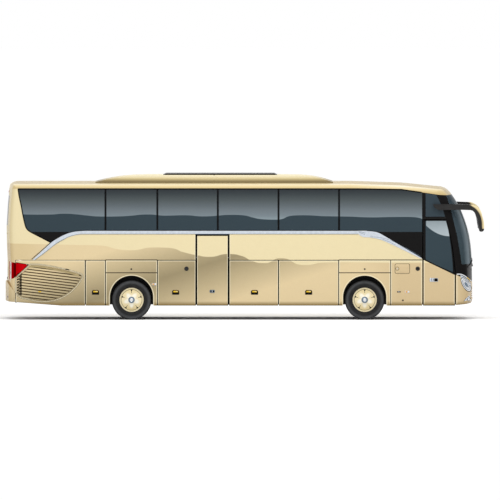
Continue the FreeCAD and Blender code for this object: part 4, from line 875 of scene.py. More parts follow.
def edgeTrim(name, width, body, material, side):
    # A rubber edge that follows the outline of a panel's outer skin.
    bm = bmesh.new()
    bm.from_mesh(nodes[name].data)
    bmesh.ops.remove_doubles(bm, verts=bm.verts, dist=0.0002)
    inner = [f for f in bm.faces if any(abs(side * v.co.y - halfWidth(v.co.z)) > 0.0008 for v in f.verts)]
    bmesh.ops.delete(bm, geom=inner, context="FACES")
    made = bmesh.ops.inset_region(bm, faces=bm.faces[:], thickness=width, depth=0, use_even_offset=True,
                                  use_boundary=True)
    rim = set(made["faces"])
    # The engine flap's upper edge swings past the bright strip, so it carries no seal.
    top = seams["engineTop"] if "engine" in name else math.inf
    bmesh.ops.delete(bm, geom=[f for f in bm.faces if f not in rim or f.calc_center_median().z > top],
                     context="FACES")
    for v in bm.verts:
        v.co.y += side * seams["lift"]
        v.co.z = min(max(v.co.z, seams["low"]), seams["high"])
    out = bmesh.ops.extrude_face_region(bm, geom=bm.faces[:])
    for v in out["geom"]:
        if isinstance(v, bmesh.types.BMVert):
            v.co.y -= side * seams["depth"]
    bmesh.ops.recalc_face_normals(bm, faces=bm.faces)
    mesh = bpy.data.meshes.new(name + "_seal")
    bm.to_mesh(mesh)
    bm.free()
    mesh.materials.append(material)
    obj = bpy.data.objects.new(name + "_seal", mesh)
    bpy.context.scene.collection.objects.link(obj)
    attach(obj, body)


def makeSeals():
    for sideName, side in sides.items():
        for kind in ("bay_flap_%s_1", "bay_flap_%s_2", "bay_flap_%s_3", "service_flap_%s",
                     "engine_flap_%s"):
            name = kind % sideName
            edgeTrim(name, seams["edge"], name + "_panel", mat["rubber"], side)
    edgeTrim("mid_door", seams["doorEdge"], "mid_door_leaf", mat["rubber"], -1)
    edgeTrim("front_door", seams["frontDoorEdge"], "front_door_leaf", mat["rubber"], -1)


# Pressed grooves in the sides: flat ones as from, to and height, upright ones by place.
grooves = {
    "flat": ((-3.649, -2.288, 1.236), (2.474, 3.836, 1.236), (-3.649, -2.288, 1.574),
             (2.474, 4.662, 1.574)),
    "upright": (3.836, -3.649, -2.288, 2.474), "foot": 0.376, "bend": 0.56, "head": 1.574,
    "depths": (-0.006, 0.0008), "doorGap": 0.024, "doorDepth": -0.003,
}


def makeFixedSeams():
    # Rubber in the pressed grooves, and a frame round the mid doorway.
    (x0, _, _), (x1, _, top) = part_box("mid_door")
    half, foot, bend, head = seams["inlay"], grooves["foot"], grooves["bend"], grooves["head"]
    low, high = grooves["depths"]
    for sideName, side in sides.items():
        piece = Piece("seam_inlays_" + sideName, mat["rubber"])
        place = sidePlace(side)
        strips = [[((xa, z + t), (xb, z + t)) for t in (-half, half)] for xa, xb, z in grooves["flat"]]
        strips += [[((x - half, z), (x + half, z)) for z in (foot, bend, head)] for x in grooves["upright"]]
        for strip in strips:
            piece.loft([[place(*a, low), place(*b, low), place(*b, high), place(*a, high)]
                        for a, b in strip])
        if side == -1:
            gap, edge = grooves["doorGap"], seams["doorEdge"]
            rear, front, over = x0 - gap - edge / 2, x1 + gap + edge / 2, top + gap + edge / 2
            line = [(rear, z) for z in (foot, bend, head, over)] + [(front, z)
                    for z in (over, head, bend, foot)]
            piece.ring(line, place, edge, grooves["doorDepth"], high, closed=False)
        piece.finish()


makeSeals()
makeFixedSeams()
print("seals made")


# Small fittings on the sides.
fittings = {
    "handles": {"bay_flap_right_1": -1.807, "bay_flap_right_2": 0.263, "bay_flap_right_3": 1.684,
                "service_flap_right": -3.911,
                "bay_flap_left_1": -1.49, "bay_flap_left_2": 0.093, "bay_flap_left_3": 1.684,
                "service_flap_left": -3.911},
    "handleZ": 0.722, "handleSize": (0.186, 0.122),
}


def makeHandle(flapName, x):
    side = -1 if "right" in flapName else 1
    z, (w, h) = fittings["handleZ"], fittings["handleSize"]
    place = sidePlace(side)
    piece = Piece(flapName + "_handle", mat["gloss"], mat["yellow"], mat["bright"])
    outer = [(x - w / 2, z - h * 0.5), (x + w / 2, z - h * 0.5), (x + w / 2, z + h * 0.22),
             (x + w * 0.38, z + h * 0.5), (x - w * 0.38, z + h * 0.5), (x - w / 2, z + h * 0.22)]
    piece.dome(rounded(outer, 0.016), place, ((1.0, 0.0), (1.0, 0.004), (0.93, 0.007), (0.78, 0.007),
                                              (0.74, 0.003), (0.1, 0.003)))
    lift = [(x - w * 0.34, z + h * 0.02), (x + w * 0.34, z + h * 0.02), (x + w * 0.30, z + h * 0.34),
            (x - w * 0.30, z + h * 0.34)]
    piece.dome(rounded(lift, 0.010), place, ((1.0, 0.003), (1.0, 0.011), (0.9, 0.014), (0.2, 0.014)), 1)
    glint = [(x + w * 0.02, z + h * 0.20), (x + w * 0.26, z + h * 0.20), (x + w * 0.24, z + h * 0.29),
             (x + w * 0.02, z + h * 0.29)]
    piece.dome(rounded(glint, 0.004), place, ((1.0, 0.012), (1.0, 0.0152), (0.3, 0.0156)), 2)
    piece.finish(flapName + "_panel", 40.0)


# Round caps on the sides: place, height and radius.
sideCaps = {
    "fixed": ((4.547, 1.343, 0.058), (-2.971, 1.332, 0.022), (3.155, 1.332, 0.022), (4.158, 0.512, 0.022)),
    "onFlap": (-1.524, 1.343, 0.058),
}


def makeDiscs():
    for sideName, side in sides.items():
        place = sidePlace(side)
        piece = Piece("side_caps_" + sideName, mat["plastic"], mat["rubber"], mat["bright"])
        for x, z, r in sideCaps["fixed"]:
            outline = circle(x, z, r)
            piece.dome(outline, place, ((1.0, -0.002), (1.0, 0.004), (0.92, 0.007), (0.78, 0.007),
                                        (0.72, 0.004), (0.3, 0.004)))
            if r > 0.04:
                bar = rounded([(x - r * 0.5, z - r * 0.14), (x + r * 0.5, z - r * 0.14),
                               (x + r * 0.5, z + r * 0.14), (x - r * 0.5, z + r * 0.14)], 0.006)
                piece.dome(bar, place, ((1.0, 0.003), (1.0, 0.010), (0.9, 0.011), (0.2, 0.011)), 1)
        piece.finish()
    piece = Piece("flap_cap_right", mat["plastic"], mat["rubber"])
    piece.dome(circle(*sideCaps["onFlap"]), sidePlace(-1),
               ((1.0, 0.0), (1.0, 0.004), (0.92, 0.007), (0.78, 0.007), (0.72, 0.004), (0.3, 0.004)))
    piece.finish("bay_flap_right_1_panel")


sideMarkers = {"lamps": ((-2.375, 0.935), (4.271, 0.735)), "mark": (4.053, 0.735)}


def makeMarkers():
    # Amber side markers and small pale lamps, then plain dark marks that carry no lettering.
    for sideName, side in sides.items():
        place = sidePlace(side)
        piece = Piece("side_markers_" + sideName, mat["amber"], mat["white"], mat["plastic"], mat["bright"])
        for x, z in sideMarkers["lamps"]:
            piece.dome(roundRect(x, z, 0.118, 0.052, 0.022), place,
                       ((1.0, -0.001), (1.0, 0.004), (0.9, 0.007), (0.2, 0.007)), 3)
            piece.dome(roundRect(x - 0.018, z, 0.058, 0.034, 0.014), place,
                       ((1.0, 0.006), (1.0, 0.011), (0.8, 0.015), (0.2, 0.017)), 0)
            piece.dome(roundRect(x + 0.036, z, 0.034, 0.032, 0.014), place,
                       ((1.0, 0.006), (1.0, 0.011), (0.8, 0.015), (0.2, 0.017)), 1)
        piece.dome(roundRect(*sideMarkers["mark"], 0.096, 0.034, 0.014), place,
                   ((1.0, -0.001), (1.0, 0.004), (0.85, 0.006), (0.2, 0.006)), 2)
        piece.dome(roundRect(*sideMarkers["mark"], 0.030, 0.018, 0.008), place,
                   ((1.0, 0.004), (1.0, 0.008), (0.8, 0.010), (0.2, 0.010)), 3)
        piece.finish()


fuelFlap = {"x": 4.143, "z": 1.344, "size": (0.384, 0.254), "corner": 0.038, "lock": (4.010, 1.344, 0.046)}


def makeFuelFlap():
    for sideName, side in sides.items():
        place = sidePlace(side)
        piece = Piece("fuel_flap_" + sideName, mat["paint"], mat["rubber"], mat["bright"])
        w, h = fuelFlap["size"]
        outline = roundRect(fuelFlap["x"], fuelFlap["z"], w, h, fuelFlap["corner"], 7)
        piece.ring(outline, place, 0.011, -0.002, 0.0012, 1)
        piece.dome(outline, place, ((0.975, -0.001), (0.975, 0.0012), (0.955, 0.0030), (0.2, 0.0030)), 0)
        x, z, r = fuelFlap["lock"]
        lock = circle(x, z, r)
        piece.ring(lock, place, 0.008, 0.002, 0.0045, 1)
        piece.dome(circle(x, z, r * 0.84), place, ((1.0, 0.002), (1.0, 0.006), (0.8, 0.0085), (0.2, 0.009)),
                   0)
        piece.dome(roundRect(x + 0.004, z, 0.014, 0.036, 0.006), place,
                   ((1.0, 0.008), (1.0, 0.0105), (0.3, 0.0105)), 2)
        piece.finish()


# Place, height and size of the front door's handle; place and height of the mid door's.
doorHandles = {"front": (4.972, 1.050, 0.224, 0.098), "mid": (-0.848, 0.748)}


def makeDoorHandles():
    place = sidePlace(-1)
    piece = Piece("front_door_handle", mat["bright"], mat["gloss"], mat["plastic"])
    x, z, w, h = doorHandles["front"]
    piece.dome(roundRect(x, z, w, h, 0.022), place,
               ((1.0, 0.0), (1.0, 0.006), (0.96, 0.009), (0.8, 0.009), (0.78, 0.004), (0.1, 0.004)), 0)
    piece.dome(roundRect(x + 0.056, z, 0.092, 0.080, 0.014), place,
               ((1.0, 0.003), (1.0, 0.013), (0.9, 0.015), (0.2, 0.015)), 1)
    for step in range(4):
        piece.dome(roundRect(x - 0.084 + step * 0.026, z, 0.012, 0.066, 0.005), place,
                   ((1.0, 0.003), (1.0, 0.012), (0.7, 0.014), (0.2, 0.014)), 1 if step % 2 else 0)
    piece.finish("front_door_leaf")
    piece = Piece("mid_door_handle", mat["bright"], mat["gloss"], mat["hubSteel"])
    x, z = doorHandles["mid"]
    piece.dome(roundRect(x, z, 0.140, 0.078, 0.028), place,
               ((1.0, 0.0), (1.0, 0.004), (0.94, 0.007), (0.84, 0.007), (0.8, 0.003), (0.1, 0.003)), 2)
    for shift in (-0.031, 0.031):
        piece.dome(roundRect(x + shift, z, 0.036, 0.050, 0.016), place,
                   ((1.0, 0.003), (1.0, 0.011), (0.8, 0.013), (0.2, 0.013)), 1)
    piece.dome(roundRect(x, z + 0.008, 0.016, 0.030, 0.006), place,
               ((1.0, 0.003), (1.0, 0.014), (0.8, 0.015), (0.2, 0.015)), 0)
    piece.finish("mid_door_leaf")


wing = {
    # Fine lines on the bright wing: short blades at its rear end, the lower edge of the bare area,
    # and the panel ahead of it.
    "blades": (((2.99, 2.326), (3.08, 2.305), (3.17, 2.270)),
               ((3.00, 2.296), (3.09, 2.270), (3.16, 2.236))),
    "panels": (((3.30, 2.182), (3.52, 2.166), (3.74, 2.118), (3.93, 2.048)),
               ((3.95, 2.036), (4.20, 1.905), (4.60, 1.680)),
               ((3.62, 2.112), (3.80, 2.050), (3.96, 1.966))),
}


def makeWing():
    for sideName, side in sides.items():
        place = sidePlace(side)
        piece = Piece("wing_blades_" + sideName, mat["hubSteel"], mat["bright"])
        for line in wing["blades"]:
            points = curveThrough(line, 6)
            piece.ring(points, place, 0.009, 0.006, 0.0086, 0, False)
        for line in wing["panels"]:
            points = curveThrough(line, 8)
            piece.ring(points, place, 0.008, 0.006, 0.0086, 0, False)
        piece.finish()


# Seals along the bright strip: each rises at its rear end, then runs level.
beltSeals = {
    "upper": ((-5.586, 1.592), (-5.30, 1.842), (-5.086, 2.030), (-4.90, 2.150), (-4.72, 2.243),
              (-4.48, 2.318), (-4.172, 2.344)),
    "lower": ((-5.492, 1.585), (-5.25, 1.762), (-4.986, 1.970), (-4.80, 2.082), (-4.60, 2.186),
              (-4.38, 2.243), (-4.172, 2.254)),
    "level": (-3.0, -1.5, 0.0, 1.5, 2.98), "widths": (0.014, 0.010), "depths": (0.0005, 0.0085),
}


def makeBeltEdges():
    # Dark seal over the bright strip, and a thin one under it.
    for sideName, side in sides.items():
        piece = Piece("belt_seals_" + sideName, mat["rubber"], mat["hubSteel"])
        for index, (edge, width) in enumerate(zip(("upper", "lower"), beltSeals["widths"])):
            line = curveThrough(beltSeals[edge], 6)
            line += [(x, beltSeals[edge][-1][1]) for x in beltSeals["level"]]
            piece.ring(line, sidePlace(side), width, *beltSeals["depths"], index, False)
        piece.finish()


def makePillarStrips():
    # Black strips over the joints between the panes.
    for sideName, side in sides.items():
        place = sidePlace(side)
        piece = Piece("pillar_strips_" + sideName, mat["rubber"])
        for x in glass["pillars"]:
            rings = [[place(x - 0.017, z, -0.004), place(x + 0.017, z, -0.004), place(x + 0.017, z, 0.0012),
                      place(x - 0.017, z, 0.0012)] for z in (2.345, 3.430)]
            piece.loft(rings)
        piece.finish()


# Seals of the window band: its rear edge, its upper edge, and the slanting line ahead of the wing.
windowSeals = {
    "rear": ((-5.086, 2.031), (-5.350, 2.170), (-5.600, 2.299), (-5.700, 2.374), (-5.753, 2.480),
             (-5.812, 2.730), (-5.860, 2.990), (-5.910, 3.220), (-5.944, 3.436)),
    "top": ((-5.944, 3.436), (-4.0, 3.4365), (-2.0, 3.4365), (0.0, 3.4365), (2.0, 3.4365), (3.0, 3.4365),
            (4.11, 3.420), (4.648, 3.344)),
    "front": ((3.21, 2.340), (3.40, 2.322), (3.575, 2.266), (4.10, 1.955), (4.667, 1.622)),
}


def makeGlassEdges():
    for sideName, side in sides.items():
        place = sidePlace(side)
        piece = Piece("window_seals_" + sideName, mat["rubber"])
        piece.ring(curveThrough(windowSeals["rear"], 5), place, 0.030, 0.0002, 0.0022, 0, False)
        piece.ring(windowSeals["top"], place, 0.032, 0.0002, 0.0022, 0, False)
        piece.ring(curveThrough(windowSeals["front"], 6), place, 0.014, 0.0002, 0.0086, 0, False)
        piece.finish()


for flapName, x in fittings["handles"].items():
    makeHandle(flapName, x)
makeDiscs()
makeMarkers()
makeFuelFlap()
makeDoorHandles()
makeWing()
makeBeltEdges()
makePillarStrips()
makeGlassEdges()
print("side fittings made")


# Near-black strips behind the open gaps between the panels stand in for the shade there: from x, to x,
# depth behind the skin.
backing = {
    "right": ((-6.016, -5.985, 0.047), (-4.204, -4.154, 0.047), (-3.680, -3.650, 0.047),
              (-2.287, -2.257, 0.047), (-1.300, -1.240, 0.052), (-0.442, -0.385, 0.052),
              (0.868, 0.918, 0.047), (2.444, 2.473, 0.047), (4.668, 4.700, 0.052), (5.518, 5.549, 0.052)),
    "left": ((-6.016, -5.985, 0.047), (-4.204, -4.154, 0.047), (-3.680, -3.650, 0.047),
             (-2.287, -2.257, 0.047), (-0.726, -0.676, 0.047), (0.862, 0.912, 0.047),
             (2.444, 2.473, 0.047)),
    "levels": (0.400, 0.560, 1.100, 1.555), "thickness": 0.006, "rearLevels": (0.450, 0.560, 0.800, 1.050),
}


def makeBackings():
    for sideName, side in sides.items():
        place = sidePlace(side)
        piece = Piece("seam_backing_" + sideName, mat["deepBlack"])
        for x0, x1, deep in backing[sideName]:
            low, high = -deep - backing["thickness"], -deep
            levels = backing["rearLevels"] if x0 < -6.0 else backing["levels"]
            piece.loft([[place(x0, z, low), place(x1, z, low), place(x1, z, high), place(x0, z, high)]
                        for z in levels])
        piece.finish()


# Side grille: the outline of the louvred opening, and the fine parts round it.
sideGrille = {
    "outline": ((-5.620, 1.452), (-5.430, 1.452), ((-4.900, 1.365), (-4.320, 1.210)),
                ((-4.262, 1.160), (-4.290, 1.070)), ((-4.480, 0.820), (-4.760, 0.610)),
                ((-5.100, 0.500), (-5.700, 0.565)), ((-5.900, 0.620), (-6.000, 0.730)), (-6.000, 1.075),
                (-5.985, 1.105)),
    "mesh": (-5.868, 0.640, 1.265), "tab": (-5.377, 0.741), "mark": (-4.650, 1.322),
}


def arcPoints(a, m, b, steps=10):
    # Points of the arc from a through m to b, without a itself.
    (ax, ay), (bx, by), (cx, cy) = a, m, b
    turn = 2 * (ax * (by - cy) + bx * (cy - ay) + cx * (ay - by))
    sa, sb, sc = ax * ax + ay * ay, bx * bx + by * by, cx * cx + cy * cy
    ux = (sa * (by - cy) + sb * (cy - ay) + sc * (ay - by)) / turn
    uy = (sa * (cx - bx) + sb * (ax - cx) + sc * (bx - ax)) / turn
    radius = math.dist((ux, uy), a)
    first, middle, last = (math.atan2(y - uy, x - ux) for x, y in (a, m, b))
    sweep = (last - first) % math.tau
    if (middle - first) % math.tau > sweep:
        sweep -= math.tau
    return [(ux + radius * math.cos(first + sweep * i / steps),
             uy + radius * math.sin(first + sweep * i / steps)) for i in range(1, steps + 1)]


def grilleOutline():
    points = [sideGrille["outline"][0]]
    for step in sideGrille["outline"][1:]:
        if isinstance(step[0], tuple):
            points += arcPoints(points[-1], *step)
        else:
            points.append(step)
    return points


def makeSideGrille():
    outline = grilleOutline()
    for sideName, side in sides.items():
        place = sidePlace(side)
        piece = Piece("side_grille_" + sideName, mat["grille"], mat["cream"], mat["rubber"], mat["browShade"],
                      mat["yellow"], mat["deepBlack"])
        # A tan sheet behind the slats stands in for the shade between them.
        piece.prism(offsetLine(outline, -0.020, True), place, -0.0445, -0.0375, 0)
        piece.ring(offsetLine(outline, -0.001, True), place, 0.006, 0.0002, 0.0022, 2)
        piece.ring(offsetLine(outline, -0.012, True), place, 0.015, 0.0002, 0.0032, 1)
        piece.ring(offsetLine(outline, -0.0225, True), place, 0.005, 0.0002, 0.0026, 2)
        # The brow is painted shade: a darker tan band along the top of the opening.
        brow = [(-5.640, 1.400), (-5.440, 1.402)] + arcPoints((-5.430, 1.402), (-4.915, 1.316),
                                                              (-4.345, 1.160), 14)
        piece.ring(brow, place, 0.046, 0.0002, 0.0018, 3, False)
        x, low, high = sideGrille["mesh"]
        piece.ring([(x, low), (x, 0.95), (x, high)], place, 0.030, 0.0002, 0.0020, 5, False)
        for i in range(9):
            z = high - 0.03 - i * 0.070
            reach = min(0.105, 0.060 + 0.9 * (z - 0.64)) if z < 1.1 else min(0.105, 0.235 - (z - 1.1) * 0.9)
            line = [(x - 0.012, z), (x - 0.35 * reach, z - 0.004), (x - 0.7 * reach, z - 0.022),
                    (x - reach, z - 0.052)]
            piece.ring(line, place, 0.016, 0.0002, 0.0022, 5, False)
        tx, tz = sideGrille["tab"]
        piece.dome(roundRect(tx, tz, 0.075, 0.026, 0.010), place,
                   ((1.0, -0.002), (1.0, 0.004), (0.8, 0.006), (0.2, 0.006)), 4)
        mx, mz = sideGrille["mark"]
        bar = [(mx - 0.050, mz + 0.012), (mx, mz + 0.004), (mx + 0.050, mz - 0.010)]
        piece.ring(bar, place, 0.022, 0.0010, 0.0034, 5, False)
        piece.finish("engine_flap_" + sideName + "_panel", 40.0)


# Lamps at the front: values in the side view, then across the front.
frontLamps = {
    "top": (5.704, 1.092), "foot": (5.930, 0.748), "width": 0.172,
    "brow": ((5.572, 1.196), (5.640, 1.200), (5.720, 1.182), (5.790, 1.140), (5.850, 1.092), (5.905, 1.044),
             (5.955, 1.000)),
    "fog": ((5.757, 0.484), (5.800, 0.546), (5.877, 0.606), (5.925, 0.560), (5.968, 0.484)),
    "fogLens": (5.884, 0.528, 0.036),
    "round": ((0.955, 0.925, 0.088), (0.735, 0.895, 0.070)),
}


def lampOval(steps=36):
    (ax, az), (bx, bz) = frontLamps["top"], frontLamps["foot"]
    cx, cz, half = (ax + bx) / 2, (az + bz) / 2, math.dist((ax, az), (bx, bz)) / 2
    ux, uz = (bx - ax) / 2 / half, (bz - az) / 2 / half
    points = []
    for i in range(steps):
        a = math.tau * i / steps
        along = half * math.cos(a)
        across = frontLamps["width"] / 2 * math.sin(a) * (1.0 + 0.10 * math.cos(a))
        points.append((cx + ux * along - uz * across, cz + uz * along + ux * across))
    return points


def makeFrontLamps():
    oval = lampOval()
    cx, cz = sum(u for u, v in oval) / len(oval), sum(v for u, v in oval) / len(oval)
    for sideName, side in sides.items():
        place = cornerPlace(side)
        piece = Piece("headlamp_optics_" + sideName, mat["white"], mat["rubber"], mat["reflector"],
                      mat["hubSteel"], mat["yellow"], mat["bright"])

        def scaled(k):
            return [(cx + (u - cx) * k, cz + (v - cz) * k) for u, v in oval]
        piece.ring(scaled(1.04), place, 0.014, 0.0004, 0.0040, 1)
        piece.dome(oval, place, ((0.98, 0.0), (0.98, 0.0040), (0.90, 0.0072), (0.70, 0.0074),
                                 (0.30, 0.0074), (0.05, 0.0074)), 0)
        piece.ring(scaled(0.74), place, 0.012, 0.0072, 0.0100, 3)
        piece.ring(scaled(0.50), place, 0.016, 0.0072, 0.0110, 2)
        piece.dome(scaled(0.34), place, ((1.0, 0.0070), (1.0, 0.0105), (0.7, 0.0130), (0.1, 0.0140)), 3)
        for k in (-1, 0, 1):
            line = [(cx - 0.012 + k * 0.022, cz + 0.085 - k * 0.030),
                    (cx + 0.010 + k * 0.024, cz + 0.010 - k * 0.030),
                    (cx + 0.040 + k * 0.022, cz - 0.070 - k * 0.022)]
            piece.ring(curveThrough(line, 4), place, 0.006, 0.0074, 0.0096, 3, False)
        brow = curveThrough(frontLamps["brow"], 4)
        piece.ring(brow, place, 0.026, 0.0004, 0.0060, 0, False)
        piece.ring(offsetLine(brow, 0.016, False), place, 0.007, 0.0004, 0.0066, 1, False)
        piece.ring(offsetLine(brow, -0.016, False), place, 0.006, 0.0004, 0.0066, 1, False)
        piece.ring(brow[15:22], place, 0.020, 0.0058, 0.0090, 4, False)
        piece.finish()
        piece = Piece("front_round_lamps_" + sideName, mat["clearLens"], mat["bright"], mat["reflector"],
                      mat["rubber"])

        def ahead(y, z, depth):
            return frontPlace(side * y, z, depth)
        for y, z, r in frontLamps["round"]:
            piece.ring(circle(y, z, r, 32), ahead, 0.012, 0.0006, 0.0080, 1)
            piece.dome(circle(y, z, r * 0.93, 32), ahead,
                       ((1.0, 0.0006), (1.0, 0.0040), (0.8, 0.0090), (0.5, 0.0120), (0.1, 0.0130)), 0)
            piece.ring(circle(y, z, r * 0.55, 24), ahead, 0.008, 0.0110, 0.0136, 2)
        piece.finish()
        piece = Piece("fog_lamp_optics_" + sideName, mat["bright"], mat["white"], mat["rubber"])
        piece.ring(rounded(frontLamps["fog"], 0.014), place, 0.008, 0.0004, 0.0040, 2)
        piece.dome(rounded(frontLamps["fog"], 0.014), place,
                   ((0.95, 0.0), (0.95, 0.0030), (0.85, 0.0046), (0.2, 0.0046)), 0)
        x, z, r = frontLamps["fogLens"]
        piece.ring(circle(x, z, r, 24), place, 0.007, 0.0044, 0.0080, 2)
        piece.dome(circle(x, z, r * 0.88, 24), place, ((1.0, 0.0044), (1.0, 0.0070), (0.7, 0.0110),
                                                       (0.1, 0.0125)), 1)
        piece.finish()


# Mirror glass on the rear face of each housing.
mirrorFace = {"line": ((6.160, 2.375), (6.147, 2.450), (6.124, 2.600), (6.095, 2.700), (6.058, 2.795)),
              "across": (1.168, 1.352), "lift": 0.0025}


def makeMirrorGlass():
    y0, y1 = mirrorFace["across"]
    for sideName, side in sides.items():
        piece = Piece("mirror_glass_" + sideName, mat["mirrorGlass"], mat["plastic"])
        for (low, high), shrink, lift, index in (((0, 4), 0.0, 0.0, 1),
                                                 ((0, 4), 0.010, mirrorFace["lift"], 0)):
            rings = []
            line = mirrorFace["line"][low:high + 1]
            for i, (x, z) in enumerate(line):
                push = shrink * ((i == 0) - (i == len(line) - 1))
                a, b = y0 + shrink, y1 - shrink
                back = x - lift - 0.0015
                rings.append([(back - 0.002, side * a, z + push), (back - 0.002, side * b, z + push),
                              (back + 0.004, side * b, z + push), (back + 0.004, side * a, z + push)])
            piece.loft(rings, index)
        piece.finish()


# The slanting black line between glass and paint on the front door, and on to the lamp.
doorLine = {"points": ((4.716, 1.592), (4.95, 1.470), (5.20, 1.352), (5.505, 1.226)), "width": 0.026}


def makeDoorLine():
    piece = Piece("front_door_line", mat["rubber"])
    piece.ring(doorLine["points"], sidePlace(-1), doorLine["width"], 0.0002, 0.0020, 0, False)
    piece.finish("front_door_leaf")


makeBackings()
makeSideGrille()
makeFrontLamps()
makeMirrorGlass()
makeDoorLine()
print("gaps, grilles, lamps and mirrors made")


# Seats: rows of twin fabric seats, each seat with its own cushion, back, bolsters and headrest.
seats = {
    "first": -5.420, "pitch": 0.820, "rows": 12, "base": 1.3403, "aisle": 0.330, "wall": 1.180,
    "gap": 0.012,
    "clear": (-1.837, -0.245), "fill": 0.75, "across": 16,
    # Stations along a pad: share of its length, share of its width, thickness, bolster height.
    "cushion": ((0.00, 0.86, 0.050, 0.000), (0.03, 0.95, 0.088, 0.006), (0.15, 1.0, 0.104, 0.020),
                (0.45, 1.0, 0.100, 0.026), (0.80, 1.0, 0.100, 0.022), (0.94, 0.99, 0.094, 0.012),
                (0.985, 0.96, 0.076, 0.004), (1.00, 0.90, 0.050, 0.000)),
    "back": ((0.00, 0.90, 0.060, 0.000), (0.03, 0.97, 0.086, 0.010), (0.18, 1.0, 0.096, 0.026),
             (0.45, 1.0, 0.092, 0.030), (0.68, 0.98, 0.088, 0.024), (0.77, 0.92, 0.084, 0.012),
             (0.81, 0.84, 0.074, 0.004), (0.82, 0.76, 0.050, 0.000)),
    "head": ((0.80, 0.66, 0.050, 0.000), (0.815, 0.74, 0.082, 0.004), (0.86, 0.80, 0.100, 0.012),
             (0.93, 0.78, 0.098, 0.012), (0.98, 0.68, 0.080, 0.006), (1.00, 0.52, 0.046, 0.000)),
}


def padSection(centre, out, width, thick, bolster):
    # One closed ring across a pad: a flat back face, a crowned front face and a bolster near each edge.
    ring = []
    for k in range(seats["across"] + 1):
        t = -1 + 2 * k / seats["across"]
        rise = thick * (1 - 0.55 * abs(t) ** 7) + bolster * math.exp(
                -((abs(t) - 0.80) / 0.13) ** 2) - 0.010 * (1 - t * t)
        ring.append(centre + out * rise + Vector((0, t * width / 2, 0)))
    for k in range(1, 6):
        t = 1 - 2 * k / 6
        ring.append(centre + Vector((0, t * width / 2 * 0.96, 0)))
    return ring


def addPad(piece, kind, foot, tip, out, width, material=0):
    along = tip - foot
    rings = [padSection(foot + along * share, out, width * wide, thick, bolster)
             for share, wide, thick, bolster in seats[kind]]
    piece.loft(rings, material)


def addPiping(piece, foot, tip, out, width, lift, material=1):
    # A welt along each long edge of a pad.
    for t in (-1, 1):
        points = [foot + (tip - foot) * share + out * lift + Vector((0, t * (width / 2 - 0.006), 0))
                  for share in (0.06, 0.25, 0.5, 0.78)]
        piece.tube(points, 0.0045, 6, material)


def seatRows():
    for i in range(seats["rows"]):
        x = seats["first"] + seats["pitch"] * i
        yield x, 1
        if not seats["clear"][0] < x < seats["clear"][1]:
            yield x, -1


def makeSeats():
    wide = (seats["wall"] - seats["aisle"]) / 2 - seats["gap"]
    base = seats["base"]
    soft = Piece("seat_cushions", mat["seatCloth"], mat["seatSide"])
    frame = Piece("seat_frames", mat["greyPlastic"], mat["steel"], mat["plastic"])
    for x, side in seatRows():
        for place in (0, 1):
            y = side * (seats["aisle"] + (wide + seats["gap"]) * (place + 0.5))
            foot, tip = Vector((x + 0.145, y, base + 0.325)), Vector((x + 0.500, y, base + 0.335))
            addPad(soft, "cushion", foot, tip, Vector((0.0, 0, 1.0)), wide)
            low, high = Vector((x + 0.055, y, base + 0.405)), Vector((x - 0.100, y, base + 1.128))
            out = Vector((0.978, 0, 0.209))
            addPad(soft, "back", low, high, out, wide)
            addPad(soft, "head", low, high, out, wide, 1)
            addPiping(soft, foot, tip, Vector((0, 0, 1)), wide, 0.052)
            addPiping(soft, low, high, out, wide, 0.050)
            shell = [low + (high - low) * share - out * 0.001 for share in (0.02, 0.3, 0.6, 0.8, 0.95)]
            rings = []
            for share, mid in zip((0.90, 0.96, 0.96, 0.88, 0.60), shell):
                half = wide * share / 2
                rings.append([mid + Vector((0, -half, 0)), mid + Vector((0, half, 0)),
                              mid + Vector((0, half * 0.9, 0)) - out * 0.016,
                              mid + Vector((0, -half * 0.9, 0)) - out * 0.016])
            frame.loft(rings, 0)
            handle = [high - out * 0.004 + Vector((0, t * wide * 0.30, -0.06 - 0.05 * abs(t)))
                      - Vector((0.012 * (1 - abs(t)), 0, 0)) for t in (-1, -0.7, 0, 0.7, 1)]
            frame.tube(handle, 0.007, 6, 2)
        inner, outer = side * seats["aisle"], side * seats["wall"]
        for x0, x1, low, high, half in ((0.145, 0.275, base + 0.0, base + 0.020, 0.36),
                                        (0.185, 0.245, base + 0.018, base + 0.300, 0.03)):
            mid = (inner + outer) / 2
            for shift in ((-0.22, 0.22) if half < 0.1 else (0.0,)):
                c = mid + shift
                frame.loft([[(x + x0, c - half, z), (x + x1, c - half, z), (x + x1, c + half, z),
                             (x + x0, c + half, z)] for z in (low, high)], 1)
        frame.loft([[(x + 0.13, v, z) for v, z in ((inner + side * 0.02, base + 0.296),
                                                   (outer - side * 0.02, base + 0.296),
                                                   (outer - side * 0.02, base + 0.322),
                                                   (inner + side * 0.02, base + 0.322))],
                    [(x + 0.48, v, z) for v, z in ((inner + side * 0.02, base + 0.300),
                                                   (outer - side * 0.02, base + 0.300),
                                                   (outer - side * 0.02, base + 0.330),
                                                   (inner + side * 0.02, base + 0.330))]], 1)
        armY = inner + side * 0.012
        arm = [(x + 0.045, armY, base + 0.640), (x + 0.12, armY, base + 0.650),
               (x + 0.24, armY, base + 0.648), (x + 0.34, armY, base + 0.640),
               (x + 0.365, armY, base + 0.625)]
        frame.tube(arm, 0.020, 8, 2, 0.6)
    cushions = soft.finish("coach_body", 60.0)
    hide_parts("passenger_benches")
    frame.finish("coach_body", 40.0)


# Driver's seat: wider pads over a sprung base.
driver = {
    "y": (0.390, 0.890), "fill": 0.8,
    # Ends of the cushion and of the back in the side view.
    "cushion": ((4.845, 1.325), (5.195, 1.335)), "back": ((4.765, 1.400), (4.700, 2.195)),
}


